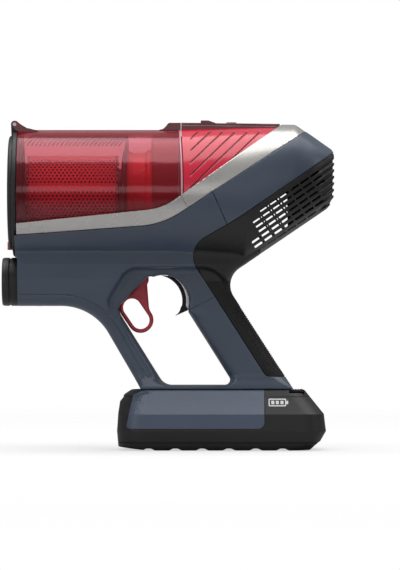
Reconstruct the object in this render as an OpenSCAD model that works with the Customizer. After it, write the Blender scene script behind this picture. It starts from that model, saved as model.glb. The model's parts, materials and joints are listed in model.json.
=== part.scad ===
// Cordless handheld vacuum cleaner with a slide-off dust bin and a slide-off battery.
// X runs from the suction inlet at the front to the exhaust at the rear, Z is up,
// and the object is symmetric about Y = 0. The battery stands on Z = 0.

/* [Dust bin] */
// Height of the bin's axis above the surface that the battery stands on
bin_axis_z = 222.5; // [220:0.5:225]
// Outer radius of the clear bin tube
bin_r = 55; // [54.5:0.1:55.2]
// Wall of the bin tube
bin_wall = 2; // [1.6:0.2:2.6]
// Front end of the bin tube
bin_front_x = -176; // [-180:1:-172]
// Radius of the perforated separator
separator_r = 33; // [32:0.5:34]

/* [Inlet] */
// Radius of the bore that takes the wand or a tool
inlet_r = 16; // [15:0.5:16]
// Depth of that bore
inlet_depth = 40; // [30:1:40]
// Height of the inlet's axis
inlet_z = 145.5; // [145:0.5:146]

/* [Body] */
// Radius of the cradle that wraps round the bin
cradle_r = 58.5; // [58:0.1:59]
// Wall of the casings
wall = 2.6; // [2.2:0.1:3]
// Gap between neighbouring casings
seam = 0.12; // [0.1:0.02:0.2]

/* [Handle] */
// Half width of the grip
grip_half_w = 18; // [17:0.5:19]
// Half width of the front strut
strut_half_w = 15; // [14:0.5:16]
// Half width of the neck over the finger opening
neck_half_w = 25; // [24:0.5:26]

/* [Battery] */
// Top of the battery
battery_top = 52; // [51.5:0.1:52]
// Wall of the battery's case
battery_wall = 2.4; // [2:0.1:2.4]
// Number of cells
cell_count = 6; // [5:1:6]
// Cell radius
cell_r = 9.2; // [9:0.1:9.2]
// Cell length
cell_length = 65; // [60:1:65]

/* [Exhaust slots] */
// Spacing of the slot rows
slot_row_pitch = 4.6; // [4.4:0.1:5]
// Spacing of the slots along a row
slot_pitch = 11; // [10:0.5:12]
// Length of one slot
slot_length = 9; // [8:0.5:9]
// Width of one slot
slot_width = 2; // [1.6:0.1:2.2]

/* [Hidden] */
$fn = 48;
eps = 0.02;

bin_rear_x = -35;
rear_x = 97.5;
front_x = -178;
bin_bore_r = bin_r - bin_wall;
cradle_bore_r = bin_r + 0.8;
lid_r = bin_r + 0.6;
through = 70;              // half width of a cut that goes right through the object

duct_port_x = -112;        // where the inlet's air turns up into the bin

// Pivots, as points in the side view (x, z).
trigger_pivot = [-50, 157.5];
ring_pivot = [-66, 156];
door_pivot = [-179, 282];
wand_latch_pivot = [-166, 126.4];
pin_r = 1.5;
pin_bore_r = 1.55;

// The finger loop's two centres and radii, and the trigger's two arcs.
loop_top = [-77.4, 123.1];
loop_bottom = [-70, 112.2];
loop_hole_r = 7.8;
loop_r = 11.2;
trigger_back = [-50.3, 128];
trigger_back_r = 23.3;
trigger_front = [-56, 128.8];
trigger_front_r = 22.3;

// The rear body's cross-sections: x, lowest z, highest z, half width, roundness (2 is an ellipse).
body_sections = [
    [-42, bin_axis_z - 58.3, bin_axis_z + 58.3, 58.3, 2],
    [-10, 162.5, 281.5, 57.2, 2.1],
    [20, 160.3, 282.3, 55.5, 2.25],
    [42, 175, 282.6, 54, 2.4],
    [64.4, 190.2, 282.5, 51, 2.6],
    [80, 200.8, 271.5, 45.5, 2.8],
    [90, 207.6, 264.4, 38.5, 3],
    [95, 211.8, 260.8, 33, 3],
    [rear_x, 216, 257.5, 27.5, 3]
];

// The battery's plan at each height: z, front x, rear x, half width.
battery_levels = [
    [0, -86, 77.2, 32],
    [3.8, -89.1, 81, 35],
    [7.6, -89.5, 85.7, 37],
    [16.4, -90.2, 90.7, 38.5],
    [31.3, -89.2, 88.8, 38.5],
    [42.5, -87.6, 79.8, 30.8],
    [48, -84.2, 75.4, 27.2],
    [battery_top, -78.5, 72.2, 24.5]
];
tread_top = 6.5;
charge_z = 22.5;            // height of the charger's socket
battery_split = 46;

// Side-view outlines, each point with the radius that rounds it: [x, z, radius].
frame_path = [
    [-176, 124.5, 0], [-111.5, 124.5, 47], [-69.6, 52.4, 0], [62.7, 52.4, 0], [1.6, 147.5, 17.5],
    [110, 221.1, 0], [110, 300, 0], [-200, 300, 0], [-200, 160, 0], [-176, 160, 0]
];
opening_path = [[-58, 151, 0], [-91, 122.5, 9], [-49.2, 55.6, 12], [11.5, 55.6, 4.5], [-28.5, 119.2, 0]];
band_top_path = [[-200, 193.3, 0], [-50.4, 208.45, 50], [60, 287.4, 0], [60, 330, 0], [-200, 330, 0]];
band_bottom_path = [[-200, 184.1, 0], [-50.8, 194.7, 70], [110, 299.7, 0], [110, 330, 0], [-200, 330, 0]];
black_path = [[110, 265.6, 0], [14, 200, 150], [-31.5, 173.5, 20], [39, 63.4, 7], [110, 63.4, 0]];
trim_seam_path = [[-45.5, 234, 0], [-20, 198, 0], [120, 198, 0], [120, 330, 0], [-45.5, 330, 0]];
shroud_seam_path = [[-20, 251.2, 0], [14, 173.9, 0], [120, 173.9, 0], [120, 330, 0], [-20, 330, 0]];
scoop_path = [
    [-90, 112, 0], [-97, 128, 6], [-88, 148, 10], [-76, 157.5, 10], [-20, 157.5, 12], [10, 140, 0], [0, 100, 0]
];
inlay_path = [[-82.6, 18.7, 0], [37.3, 18.7, 6], [37.3, 60, 0], [-74, 60, 0]];
grille_split_z = 146;
black_slope = atan2(265.6 - 200, 110 - 14);

// ---------- geometry helpers ----------

// The points that round corner b of the path a, b, c with radius r.
function corner_arc(a, b, c, r, steps = 5) =
    r == 0 ? [b] :
    let (
        u = (a - b) / norm(a - b),
        v = (c - b) / norm(c - b),
        half = acos(u * v) / 2,
        centre = b + (u + v) / norm(u + v) * r / sin(half),
        p = b + u * r / tan(half) - centre,
        q = b + v * r / tan(half) - centre,
        start = atan2(p.y, p.x),
        turn = atan2(q.y, q.x) - start,
        sweep = turn > 180 ? turn - 360 : turn < -180 ? turn + 360 : turn
    )
    [for (i = [0:steps]) centre + r * [cos(start + sweep * i / steps), sin(start + sweep * i / steps)]];

function rounded(path) = [
    for (i = [0:len(path) - 1])
        let (n = len(path), a = path[(i + n - 1) % n], b = path[i], c = path[(i + 1) % n])
            each corner_arc([a.x, a.y], [b.x, b.y], [c.x, c.y], b.z)
];

// A side-view outline, as thick as twice half_w across the object.
module slab(half_w) rotate([90, 0, 0]) linear_extrude(2 * half_w, center = true) children();

// The same outline on one side only, from y0 to y1.
module side_slab(y0, y1) translate([0, y1, 0]) rotate([90, 0, 0]) linear_extrude(y1 - y0) children();

// A convex side-view outline with its edges rounded across the object.
module puffed(half_w, edge_r, steps = 2)
    hull() for (i = [0:steps])
        slab(half_w - edge_r * (1 - sin(90 * i / steps)))
            offset(delta = -edge_r * (1 - cos(90 * i / steps))) children();

// A cylinder along X on an axis at height z, from x0 to x1.
module bar_x(r, x0, x1, z = bin_axis_z) translate([x0, 0, z]) rotate([0, 90, 0]) cylinder(r = r, h = x1 - x0);

module tube_x(r_out, r_in, x0, x1, z = bin_axis_z) difference() {
    bar_x(r_out, x0, x1, z);
    bar_x(r_in, x0 - 1, x1 + 1, z);
}

// A cylinder along Y through the side-view point p.
module bar_y(p, r, half_l) translate([p.x, 0, p.y]) rotate([90, 0, 0]) cylinder(r = r, h = 2 * half_l, center = true);

// A box between two corners.
module block(low, high) translate(low) cube(high - low);

// A coil spring along Z: wire radius, coil radius, height and turns.
module coil(wire, r, h, turns, sides = 6, steps = 10) {
    rings = turns * steps;
    points = [
        for (i = [0:rings], k = [0:sides - 1])
            let (a = 360 * i / steps, b = 360 * k / sides, q = r + wire * cos(b))
                [q * cos(a), q * sin(a), wire + (h - 2 * wire) * i / rings + wire * sin(b)]
    ];
    sides_faces = [
        for (i = [0:rings - 1], k = [0:sides - 1])
            [i * sides + k, (i + 1) * sides + k, (i + 1) * sides + (k + 1) % sides, i * sides + (k + 1) % sides]
    ];
    start = [[for (k = [0:sides - 1]) k]];
    end = [[for (k = [sides - 1:-1:0]) rings * sides + k]];
    polyhedron(points, concat(sides_faces, start, end), convexity = 4);
}

// ---------- body envelope ----------

function section_points(s, inset, n = 32) = [
    for (i = [0:n - 1])
        let (
            a = 360 * i / n,
            half_h = (s[2] - s[1]) / 2 - inset,
            half_w = s[3] - inset,
            power = 2 / s[4]
        )
        [
            sign(cos(a)) * pow(abs(cos(a)), power) * half_w,
            (s[1] + s[2]) / 2 + sign(sin(a)) * pow(abs(sin(a)), power) * half_h
        ]
];

module body_section(s, inset)
    translate([min(s[0], rear_x - inset), 0, 0]) rotate([90, 0, 90])
        linear_extrude(eps) polygon(section_points(s, inset));

module rear_body(inset = 0)
    for (i = [0:len(body_sections) - 2]) hull() {
        body_section(body_sections[i], inset);
        body_section(body_sections[i + 1], inset);
    }

module area(path, shrink = 0) offset(delta = -shrink) polygon(rounded(path));

module below_band() difference() {
    translate([-220, 30]) square([360, 300]);
    area(band_bottom_path, -seam);
}

module band() difference() {
    area(band_bottom_path);
    area(band_top_path, -seam);
}

module finger_opening() {
    area(opening_path);
    translate(trigger_back) circle(trigger_back_r);
}

// The neck that joins the cradle to the handle, with a sloping upper side and a round bottom.
module neck() difference() {
    hull() {
        slab(neck_half_w + 4) polygon([[-176, 172], [-176, 178], [-4, 178], [6, 172]]);
        slab(neck_half_w) polygon([[-176, 136], [-176, 160.5], [10, 160.5], [-8, 150], [-84, 136]]);
        slab(neck_half_w - 5) polygon([[-176, 128], [-90, 128], [-84, 136], [-176, 136]]);
        slab(neck_half_w - 12) polygon([[-176, 124.5], [-91, 124.5], [-84, 136], [-176, 136]]);
    }
    for (s = [-1, 1]) side_slab(min(s * 20.5, s * 40), max(s * 20.5, s * 40)) area(scoop_path);
}

// The strut and the grip as rounded solids, with the neck above them.
module handle_solid() intersection() {
    slab(through) area(frame_path);
    union() {
        neck();
        puffed(strut_half_w, 7.5) polygon([[-134.7, 165], [-65, 44.4], [-42.4, 44.4], [-117.6, 165]]);
        puffed(strut_half_w, 6) polygon([[-141, 122], [-120, 150], [-84, 150], [-84, 90], [-96, 92]]);
        puffed(grip_half_w, 12) polygon([[-57.3, 165], [21.3, 40], [70.7, 40], [-9.7, 165]]);
        puffed(19, 6) polygon([[-20, 165], [30, 170], [16, 126], [-10, 126]]);
        puffed(22, 5) polygon([[-74, 42], [-68, 60], [62, 60], [70, 42]]);
    }
}

module handle_cavity() {
    slab(11) intersection() {
        offset(delta = -wall - 0.3) difference() {
            area(frame_path);
            finger_opening();
        }
        polygon([[-172, 127], [-172, 163], [14, 158], [70, 58], [-80, 58]]);
    }
    slab(17.5) intersection() {
        offset(delta = -7) difference() {
            area(frame_path);
            finger_opening();
        }
        polygon([[-200, 128], [-200, 162], [-30, 162], [-30, 128]]);
    }
    bar_x(18.3, -200, duct_port_x + 15.5, inlet_z);
}

// Slots that the trigger and the finger loop swing in.
module lever_slots() {
    slab(8.3) {
        hull() {
            translate(trigger_back) circle(trigger_back_r - 0.15);
            translate(trigger_back + [8, 1]) circle(trigger_back_r - 0.2);
        }
        hull() {
            translate(trigger_pivot) circle(6.5);
            translate([-38, 149]) circle(5);
        }
    }
    slab(5.6) {
        hull() {
            translate(loop_top) circle(loop_r + 1);
            translate(loop_bottom) circle(loop_r + 1);
        }
        hull() {
            translate(ring_pivot) circle(6.5);
            translate(loop_top + [9, 9]) circle(4);
            translate(loop_top + [0, 4]) circle(9);
        }
    }
}

screw_points = [[-92, 137], [-83, 100], [-72, 83], [13, 104], [28, 80]];

module pivot_bosses() {
    for (p = [trigger_pivot, ring_pivot]) difference() {
        bar_y(p, 4, 21.5, $fn = 24);
        bar_y(p, 5, 8.8, $fn = 24);
    }
    for (s = [-1, 1]) block([-170, min(s * 7.4, s * 11), 125], [-162, max(s * 7.4, s * 11), 128.5]);
}

// Ribs that hold the switch in the grip.
module switch_ribs() for (s = [-1, 1]) block([-10, min(s * 3.45, s * 11.5), 125.5], [-4, max(s * 3.45, s * 11.5), 136]);

module screw_bosses() for (p = screw_points) bar_y(p, 3.4, p.y > 130 ? 19 : 13.5, $fn = 20);

// Both halves of the main housing before they are parted at Y = 0.
module housing() difference() {
    union() {
        difference() {
            union() {
                handle_solid();
                intersection() {
                    slab(through) below_band();
                    union() {
                        bar_x(cradle_r, front_x, -39);
                        rear_body();
                    }
                }
            }
            handle_cavity();
            intersection() {
                rear_body(wall);
                block([-31, -80, 100], [120, 80, 320]);
            }
        }
        pivot_bosses();
        screw_bosses();
        switch_ribs();
    }
    bar_x(cradle_bore_r, front_x - 1, -30.9);
    slab(through) {
        finger_opening();
        area(black_path, -seam);
        difference() {
            area(shroud_seam_path, -seam);
            translate([-40, 30]) square([60, 143]);
        }
        translate([-300, 0]) square([124, 166.5]);
    }
    lever_slots();
    for (p = [trigger_pivot, ring_pivot]) bar_y(p, pin_r + 0.06, 17.2, $fn = 24);
    bar_y(wand_latch_pivot, 1.58, 10.8);
    block([-176.5, -7.2, 120], [-156, 7.2, 129.6]);
    translate([duct_port_x, 0, 150]) cylinder(r = 14.4, h = 25);
    bar_x(18.3, -200, duct_port_x + 15.5, inlet_z);
    for (p = screw_points) side_slab(8, 30) translate(p) circle(3.3, $fn = 20);
    for (p = screw_points) bar_y(p, 1.6, 12, $fn = 20);
}

module housing_left() color("#454d5e") intersection() {
    housing();
    block([-300, -100, 0], [200, -seam / 2, 400]);
}

module housing_right() color("#454d5e") intersection() {
    housing();
    block([-300, seam / 2, 0], [200, 100, 400]);
}

module rear_shell(inset = wall) difference() {
    rear_body();
    rear_body(inset);
}

module rear_shroud() color("#454d5e") intersection() {
    rear_shell();
    slab(through) difference() {
        area(shroud_seam_path);
        area(band_bottom_path, -seam);
        area(black_path, -seam);
    }
}

module rear_trim() color("#a9aaab") intersection() {
    rear_shell(wall - 0.4);
    slab(through) intersection() {
        band();
        area(trim_seam_path);
        translate([-34.5, 0]) square([200, 400]);
    }
}

// Rows of slots parallel to the upper edge of the black part, through both sides and round the rear.
module exhaust_slots() for (row = [0:6], i = [0:9])
    let (
        u = 130.3 + slot_pitch * i,
        v = 151.5 - slot_row_pitch * row,
        x = u * cos(black_slope) - v * sin(black_slope),
        z = u * sin(black_slope) + v * cos(black_slope)
    )
    if (x > 30 && z > 183)
        translate([x, 0, z]) rotate([0, -black_slope, 0]) cube([slot_length, 140, slot_width], center = true);

module exhaust_grille() color("#1c1c1d") difference() {
    intersection() {
        union() {
            rear_shell();
            difference() {
                handle_solid();
                handle_cavity();
                rear_body(wall);
            }
        }
        slab(through) difference() {
            area(black_path);
            translate([-60, 0]) square([200, grille_split_z + seam]);
        }
    }
    lever_slots();
    difference() {
        exhaust_slots();
        for (y = [-18, 0, 18]) block([20, y - 0.8, 160], [100, y + 0.8, 270]);
    }
}

module grip_pad() color("#1c1c1d") intersection() {
    difference() {
        handle_solid();
        handle_cavity();
    }
    slab(through) intersection() {
        area(black_path);
        translate([-60, 0]) square([200, grille_split_z]);
    }
}

// ---------- lid and top controls ----------

module filter_lid() color("#c01838") intersection() {
    difference() {
        rear_body(3);
        rear_body(5.4);
    }
    slab(through) difference() {
        area(band_top_path, -3.4);
        translate([-100, 0]) square([100 + bin_rear_x + 0.3, 400]);
    }
}

// The ridge along the top of the lid, over the lid's curved skin.
module lid_spine() color("#5d0c1a") difference() {
    intersection() {
        union() {
            block([bin_rear_x + 0.3, -9, 276], [46, 9, 281.4]);
            block([bin_rear_x + 0.3, -6, 276], [50, 6, 283.6]);
        }
        slab(through) area(band_top_path, seam);
    }
    hull() {
        bar_x(lid_r + 0.4, -60, bin_rear_x);
        bar_x(lid_r + 1.9, 52, 60);
    }
    block([-18, -4.3, 279.2], [-4.7, 4.3, 290]);
    block([4.1, -4.3, 281], [13.7, 4.3, 290]);
}

module bin_button() color("#7c1226") slab(4)
    polygon([[-17.7, 281.6], [-17.7, 285.3], [-17.1, 285.8], [-11, 285.8], [-5, 283.7], [-5, 281.6]]);

module mode_button() color("#3a0a12") slab(4) polygon([[4.4, 282.2], [4.4, 283.7], [5.4, 284.1], [12.4, 284.1], [13.4, 283.7], [13.4, 282.2]]);

module bin_bulkhead() color("#26272a") difference() {
    union() {
        bar_x(bin_r - 3, -34.4, -31.4);
        intersection() {
            bar_x(cradle_bore_r - 0.06, -34.4, -31.4);
            block([-40, -60, 150], [-20, 60, 205]);
        }
        tube_x(43.4, 41.05, -31.6, 20);
        for (x = [-18, 16]) block([x, -14, 262], [x + 4, 14, 265.98]);
    }
    bar_x(41.05, -31.4, 22);
    bar_x(20, -40, -20);
    for (a = [0:30:330]) translate([-40, 0, bin_axis_z]) rotate([a, 0, 0])
        translate([0, 33, 0]) rotate([0, 90, 0]) cylinder(r = 2.2, h = 20);
    for (a = [20:40:340]) translate([-8, 0, bin_axis_z]) rotate([a, 0, 0])
        translate([0, 38, 0]) rotate([-90, 0, 0]) cylinder(r = 6.5, h = 10);
}

module bin_gasket() color("#161616") tube_x(49, 45.5, -36.2, -34.4);

// ---------- inlet ----------

module nozzle_collar() color("#202124") difference() {
    union() {
        bar_x(21, -190, -176.2, inlet_z);
        bar_x(18, -176.4, -190 + inlet_depth, inlet_z);
    }
    bar_x(inlet_r, -191, -150 + 1, inlet_z);
    block([-176, -8, 120], [-155.5, 8, 129.6]);
}

module inlet_duct() color("#2b2d31") difference() {
    union() {
        bar_x(17.9, -149.9, duct_port_x + 15, inlet_z);
        translate([duct_port_x, 0, inlet_z]) cylinder(r = 14, h = 18);
    }
    bar_x(inlet_r - 1, -151, duct_port_x + 13.4, inlet_z);
    translate([duct_port_x, 0, inlet_z]) cylinder(r = 12.5, h = 30);
}

module duct_seal() color("#161616") difference() {
    translate([duct_port_x, 0, inlet_z + 18.05]) cylinder(r = 14, h = 6);
    translate([duct_port_x, 0, 160]) cylinder(r = 12.5, h = 12);
    bar_x(bin_r + 0.35, duct_port_x - 20, duct_port_x + 20);
}

// ---------- motor ----------

module motor_can() color("#8d9096") difference() {
    bar_x(34, -25.4, 22);
    bar_x(31.5, -23.4, 20);
    bar_x(16, -30, -20);
    for (a = [0:45:315]) translate([0, 0, bin_axis_z]) rotate([a, 0, 0]) block([18, 14, -4], [24, 28, 4]);
    bar_x(6.6, 15, 30);
}

module motor_mounts() color("#161616") {
    tube_x(41, 34.05, -22, -17);
    tube_x(41, 34.05, 13, 18);
}

module motor_stator() color("#6b4a2b") difference() {
    tube_x(24, 12.4, -2, 14);
    for (a = [0:60:300]) translate([-3, 0, bin_axis_z]) rotate([a, 0, 0])
        translate([0, 17.6, 0]) rotate([0, 90, 0]) cylinder(r = 2.4, h = 20);
}

module diffuser() color("#202124") difference() {
    union() {
        tube_x(31.4, 29.4, -13, -5);
        tube_x(10, 6.55, -11, -5);
        for (a = [0:24:336]) translate([0, 0, bin_axis_z]) rotate([a, 0, 0])
            block([-11, 9.8, -0.6], [-5, 29.8, 0.6]);
    }
}

module motor_bearings() color("#c8c8c8") {
    tube_x(6.5, 2.53, -10, -6);
    tube_x(6.5, 2.53, 16, 20);
}

module motor_end_plate() color("#202124") union() {
    tube_x(10, 6.55, 15.6, 19.8);
    tube_x(31.4, 28.4, 14.6, 19.8);
    for (a = [0:60:300]) translate([0, 0, bin_axis_z]) rotate([a, 0, 0])
        block([15.6, 9.8, -1.5], [19.8, 28.8, 1.5]);
}

module rotor_magnet() color("#4c4f55") tube_x(12, 2.52, -1.5, 13.5);

module motor_shaft() color("#d0d0d0") bar_x(2.5, -22.5, 21.5);

module impeller() color("#b9bcc2") difference() {
    union() {
        bar_x(8, -22, -13.6);
        bar_x(28, -15.2, -13.6);
        for (a = [0:40:320]) translate([0, 0, bin_axis_z]) rotate([a, 0, 0])
            translate([0, 5, 0]) rotate([0, 0, 0]) block([-21, 2.5, -0.5], [-15, 22.5, 0.5]);
    }
    bar_x(2.52, -30, -10);
}

module controller_board() color("#1d5c36") union() {
    block([-20, -18, 266], [24, 18, 267.6]);
    for (x = [-12, 2]) block([x, -9, 267.6], [x + 7, -2, 271]);
    translate([14, 8, 267.6]) cylinder(r = 4, h = 5);
}

module exhaust_filter() color("#d9d9d4") slab(26)
    polygon([[61, 197], [88, 215.5], [88, 252], [74, 263.5], [61, 272]]);

module filter_frame() color("#202124") difference() {
    intersection() {
        rear_body(wall + 0.1);
        block([58.6, -60, 150], [60.9, 60, 290]);
    }
    for (z = [199, 225, 251]) block([58, -25, z], [62, 25, z + 19]);
}

// ---------- trigger and finger loop ----------

module trigger_arm(r_bore) difference() {
    union() {
        difference() {
            translate(trigger_back) circle(trigger_back_r - 0.35);
            translate(trigger_front) circle(trigger_front_r + 3.3);
            translate([-80, 100]) square([30, 60]);
            translate([-80, 90]) square([80, 26]);
        }
        hull() {
            translate(trigger_pivot) circle(4.5);
            translate([-40.6, 147.2]) circle(1.5);
            translate([-38.2, 145.6]) circle(1.5);
        }
    }
    translate(trigger_pivot) circle(r_bore);
}

module trigger_tip() polygon([[-39.8, 115.8], [-30.4, 120.2], [-31, 123], [-35.5, 123]]);

module trigger() color("#b5b7ba") difference() {
    slab(7.6) difference() {
        trigger_arm(pin_bore_r);
        offset(delta = 0.05) trigger_tip();
    }
    bar_y(trigger_pivot, pin_bore_r, 12);
}

module trigger_pad() color("#2a2a2c") slab(7.4) difference() {
    union() {
        difference() {
            translate(trigger_front) circle(trigger_front_r + 3.25);
            translate([-90, 100]) square([37, 60]);
            translate([-90, 80]) square([90, 42]);
            translate([-90, 144]) square([90, 42]);
        }
        trigger_tip();
    }
    translate(trigger_front) circle(trigger_front_r);
    difference() {
        translate([-70, 110]) square([60, 60]);
        translate(trigger_back) circle(trigger_back_r - 0.35);
    }
}

module ring_lever() color("#8f1b2a") difference() {
    slab(4.6) difference() {
        union() {
            hull() {
                translate(loop_top) circle(loop_r);
                translate(loop_bottom) circle(loop_r);
            }
            hull() {
                translate(loop_top + [1, 8]) circle(3);
                translate(loop_top + [10.5, 3]) circle(1.2);
                translate([-66.2, 147]) circle(1.2);
            }
            hull() {
                translate([-66.6, 146]) circle(1.4);
                translate(ring_pivot) circle(3.8);
            }
        }
        hull() {
            translate(loop_top) circle(loop_hole_r);
            translate(loop_bottom) circle(loop_hole_r);
        }
    }
    bar_y(ring_pivot, pin_bore_r, 12);
}

module lever_pins() color("#c8c8c8") for (p = [trigger_pivot, ring_pivot]) bar_y(p, pin_r, 17);

// A torsion spring drawn as touching turns of wire round a pin.
module torsion_spring(p, y0, turns, wire = 0.5) translate([p.x, y0, p.y]) rotate([-90, 0, 0]) union() {
    for (i = [0:turns - 1]) translate([0, 0, wire * (1 + 1.9 * i)]) rotate_extrude()
        translate([2.6, 0]) circle(wire, $fn = 16);
}

module trigger_spring() color("#c8c8c8") torsion_spring(trigger_pivot, -8.7, 1);

module ring_spring() color("#c8c8c8") torsion_spring(ring_pivot, 4.8, 3);

module trigger_switch() color("#3b3d42") union() {
    block([-11, -3.4, 124], [-3, 3.4, 137]);
    block([-12.2, -1.5, 131], [-11, 1.5, 134]);
}

// ---------- battery rail, contacts, screws ----------

module battery_rail() color("#202124") union() {
    block([-60, -7, 45.3], [40, 7, 52.4]);
    block([-60, -11, 42.5], [40, 11, 45.5]);
}

module dock_contacts() color("#c9a24a") for (y = [-5, 0, 5]) block([40, y - 0.4, 44], [47, y + 0.4, 49.5]);

module housing_screws() color("#3b3d42") for (p = screw_points) {
    difference() {
        union() {
            side_slab(-9, 9.5) translate(p) circle(1.5);
            side_slab(8.1, 10.4) translate(p) circle(2.9);
        }
        side_slab(9.2, 12) translate(p) circle(1.2, $fn = 6);
    }
}

// ---------- dust bin ----------

module bin_tube() color("#b3273f") difference() {
    union() {
        tube_x(bin_r, bin_bore_r, bin_front_x, bin_rear_x);
        for (s = [-1, 1]) side_slab(min(s * 9, s * 14), max(s * 9, s * 14)) hinge_lug();
    }
    bar_x(bin_bore_r, bin_front_x - 9, bin_rear_x + 1);
    bar_y(door_pivot, pin_r + 0.03, 30);
    bar_x(bin_r + 0.4, bin_front_x - 5, bin_front_x - 0.02);
    translate([duct_port_x, 0, 160]) cylinder(r = 12.5, h = 20);
}

module hinge_lug() hull() {
    translate(door_pivot) circle(3.5);
    translate([-172, 277]) circle(3);
    translate([-168, 274.5]) circle(1);
}

module bin_trim() color("#a9aaab") intersection() {
    tube_x(cradle_r, bin_r + eps, bin_front_x, -20);
    slab(through) difference() {
        band();
        area(trim_seam_path, -seam);
    }
}

module bin_catch() color("#5d0c1a") difference() {
    slab(9) polygon([[-54, 274], [-54, 277.6], [-50.5, 278.4], [-48, 280.4], [-46.4, 282.8], [-45.2, 283.5],
        [bin_rear_x, 283.5], [bin_rear_x, 274]]);
    bar_x(bin_r + eps, -60, -30);
}

module separator_frame() color("#c01838") difference() {
    union() {
        tube_x(separator_r, separator_r - 1.6, -170, -58);
        tube_x(51.5, 49.8, -60, -37);
        tube_x(51.5, separator_r - 1.6, -60, -58);
    }
    for (a = [38, 142, 218, 322]) translate([0, 0, bin_axis_z]) rotate([a, 0, 0])
        block([-166, 10, -14], [-94, 60, 14]);
}

module separator_screen() color("#a31530") tube_x(31.3, 30.7, -169.8, -88);

module cyclone_cone() color("#7d1428") translate([-169.8, 0, bin_axis_z]) rotate([0, 90, 0]) difference() {
    cylinder(r1 = 26, r2 = 20, h = 100, $fn = 64);
    translate([0, 0, -1]) cylinder(r1 = 24.2, r2 = 18.2, h = 102, $fn = 64);
}

module dust_baffle() color("#c2495e") translate([-86, 0, bin_axis_z]) rotate([0, 4.3, 0]) difference() {
    bar_x(52.3, -0.7, 0.7, 0);
    bar_x(separator_r + 0.4, -5, 5, 0);
}

module foam_filter() color("#3c3c3e") bar_x(49.4, -56.8, -46);

module filter_cage() color("#202124") difference() {
    union() {
        tube_x(49.6, 46, -45.8, -37);
        for (a = [0:45:135]) translate([0, 0, bin_axis_z]) rotate([a, 0, 0]) block([-41, -46.5, -1], [-38, 46.5, 1]);
        bar_x(8, -41, -38);
    }
}

module door_pin() color("#c8c8c8") bar_y(door_pivot, pin_r, 14);

module bin_door() color("#26272a") difference() {
    union() {
        bar_x(bin_r, -180.4, -176.3);
        bar_x(50, -184, -180.4);
        bar_x(50.2, -176.4, -172);
        slab(8.6) hull() {
            translate(door_pivot) circle(3.5);
            translate([-180, 272]) square([3.4, 2]);
            translate([-183, 270]) square([3, 2]);
        }
    }
    bar_x(46, -181.2, -170);
    bar_y(door_pivot, pin_bore_r, 20);
    block([-190, -7.3, 173], [-179.5, 7.3, 183.3]);
}

module door_seal() color("#161616") tube_x(52.6, 50.25, -176.2, -172.5);

module door_latch() color("#8f1b2a") union() {
    block([-185.6, -7, 173.2], [-182, 7, 180]);
    block([-182.2, -5, 173.2], [-179.6, 5, 178]);
}

module wand_latch() color("#8f1b2a") union() {
    slab(6.8) polygon([[-175, 124.9], [-175, 128.4], [-172, 128.4], [-170, 127.9], [-157, 127.9], [-157, 123.6],
        [-160, 122.9], [-165, 124.6]]);
    bar_y(wand_latch_pivot, 1.5, 10.4);
}

// ---------- battery ----------

module battery_plan(level, inset) {
    w = level[3] - inset;
    front_r = min(24, level[3] - 2) - inset;
    rear_r = min(18, level[3] - 2) - inset;
    translate([0, 0, level[0]]) linear_extrude(eps) hull() for (s = [-1, 1]) {
        translate([level[1] + inset + front_r, s * (w - front_r)]) circle(front_r, $fn = 28);
        translate([level[2] - inset - rear_r, s * (w - rear_r)]) circle(rear_r, $fn = 28);
    }
}

// The plan at any height, between the ones that are given.
function level_at(z) =
    let (
        i = max([for (k = [0:len(battery_levels) - 2]) if (battery_levels[k][0] <= z) k]),
        low = battery_levels[i],
        high = battery_levels[i + 1]
    )
    low + (high - low) * (z - low[0]) / (high[0] - low[0]);

module battery_slice(z0, z1, inset = 0) hull() {
    battery_plan(level_at(z0), inset);
    for (level = battery_levels) if (level[0] > z0 && level[0] < z1 - eps) battery_plan(level, inset);
    battery_plan(level_at(z1 - eps), inset);
}

module battery_form(inset = 0) battery_slice(0, battery_top, inset);

module inlay_pocket() difference() {
    intersection() {
        slab(through) area(inlay_path);
        union() for (s = [-1, 1]) block([-120, min(s * 21, s * 60), 0], [120, max(s * 21, s * 60), 80]);
    }
    battery_form(1.25);
}

module battery_tread() color("#141414") difference() {
    battery_slice(0, tread_top - 0.02);
    for (i = [-3:2]) slab(through) translate([6.7 + 23 * i + 23 / 2 * 0, -0.1])
        polygon([[-4, 0], [-1, 2.5], [1, 2.5], [4, 0]]);
}

module battery_case() color("#232324") difference() {
    battery_slice(tread_top, battery_split);
    difference() {
        battery_slice(tread_top + 2.4, battery_top, battery_wall);
        block([72, -7, 0], [120, 7, 31]);
    }
    inlay_pocket();
    rail_channel();
    block([41, -13, 40], [75, 13, 60]);
    bar_x(4.45, 70, 100, charge_z);
}

module rail_channel() {
    block([-120, -7.4, 45], [40.9, 7.4, 60]);
    block([-120, -11.4, 42.1], [40.9, 11.4, 45.9]);
}

module battery_lid() color("#232324") difference() {
    battery_slice(battery_split + 0.05, battery_top);
    inlay_pocket();
    rail_channel();
    block([40, -9.4, 40], [56.4, 9.4, 50.8]);
    block([58.6, -30, 46.6], [71.8, 30, 60]);
    for (s = [-1, 1]) block([51.9, min(s * 10.5, s * 20.5), 46.6], [59, max(s * 10.5, s * 20.5), 60]);
    translate([66, 0, 40]) cylinder(r = 6.4, h = 20);
}

module battery_inlays() color("#5b6675") intersection() {
    difference() {
        battery_form();
        battery_form(1.2);
    }
    slab(through) area(inlay_path, seam);
    union() for (s = [-1, 1]) block([-120, min(s * 21.1, s * 60), 0], [120, max(s * 21.1, s * 60), battery_top]);
}

cell_pitch = 2 * cell_r + 1;
cells_x = -8 - cell_pitch * (cell_count - 1) / 2;
cell_z = tread_top + 2.6 + cell_r;

module cells(r, l) for (i = [0:cell_count - 1]) bar_y([cells_x + cell_pitch * i, cell_z], r, l / 2);

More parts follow.
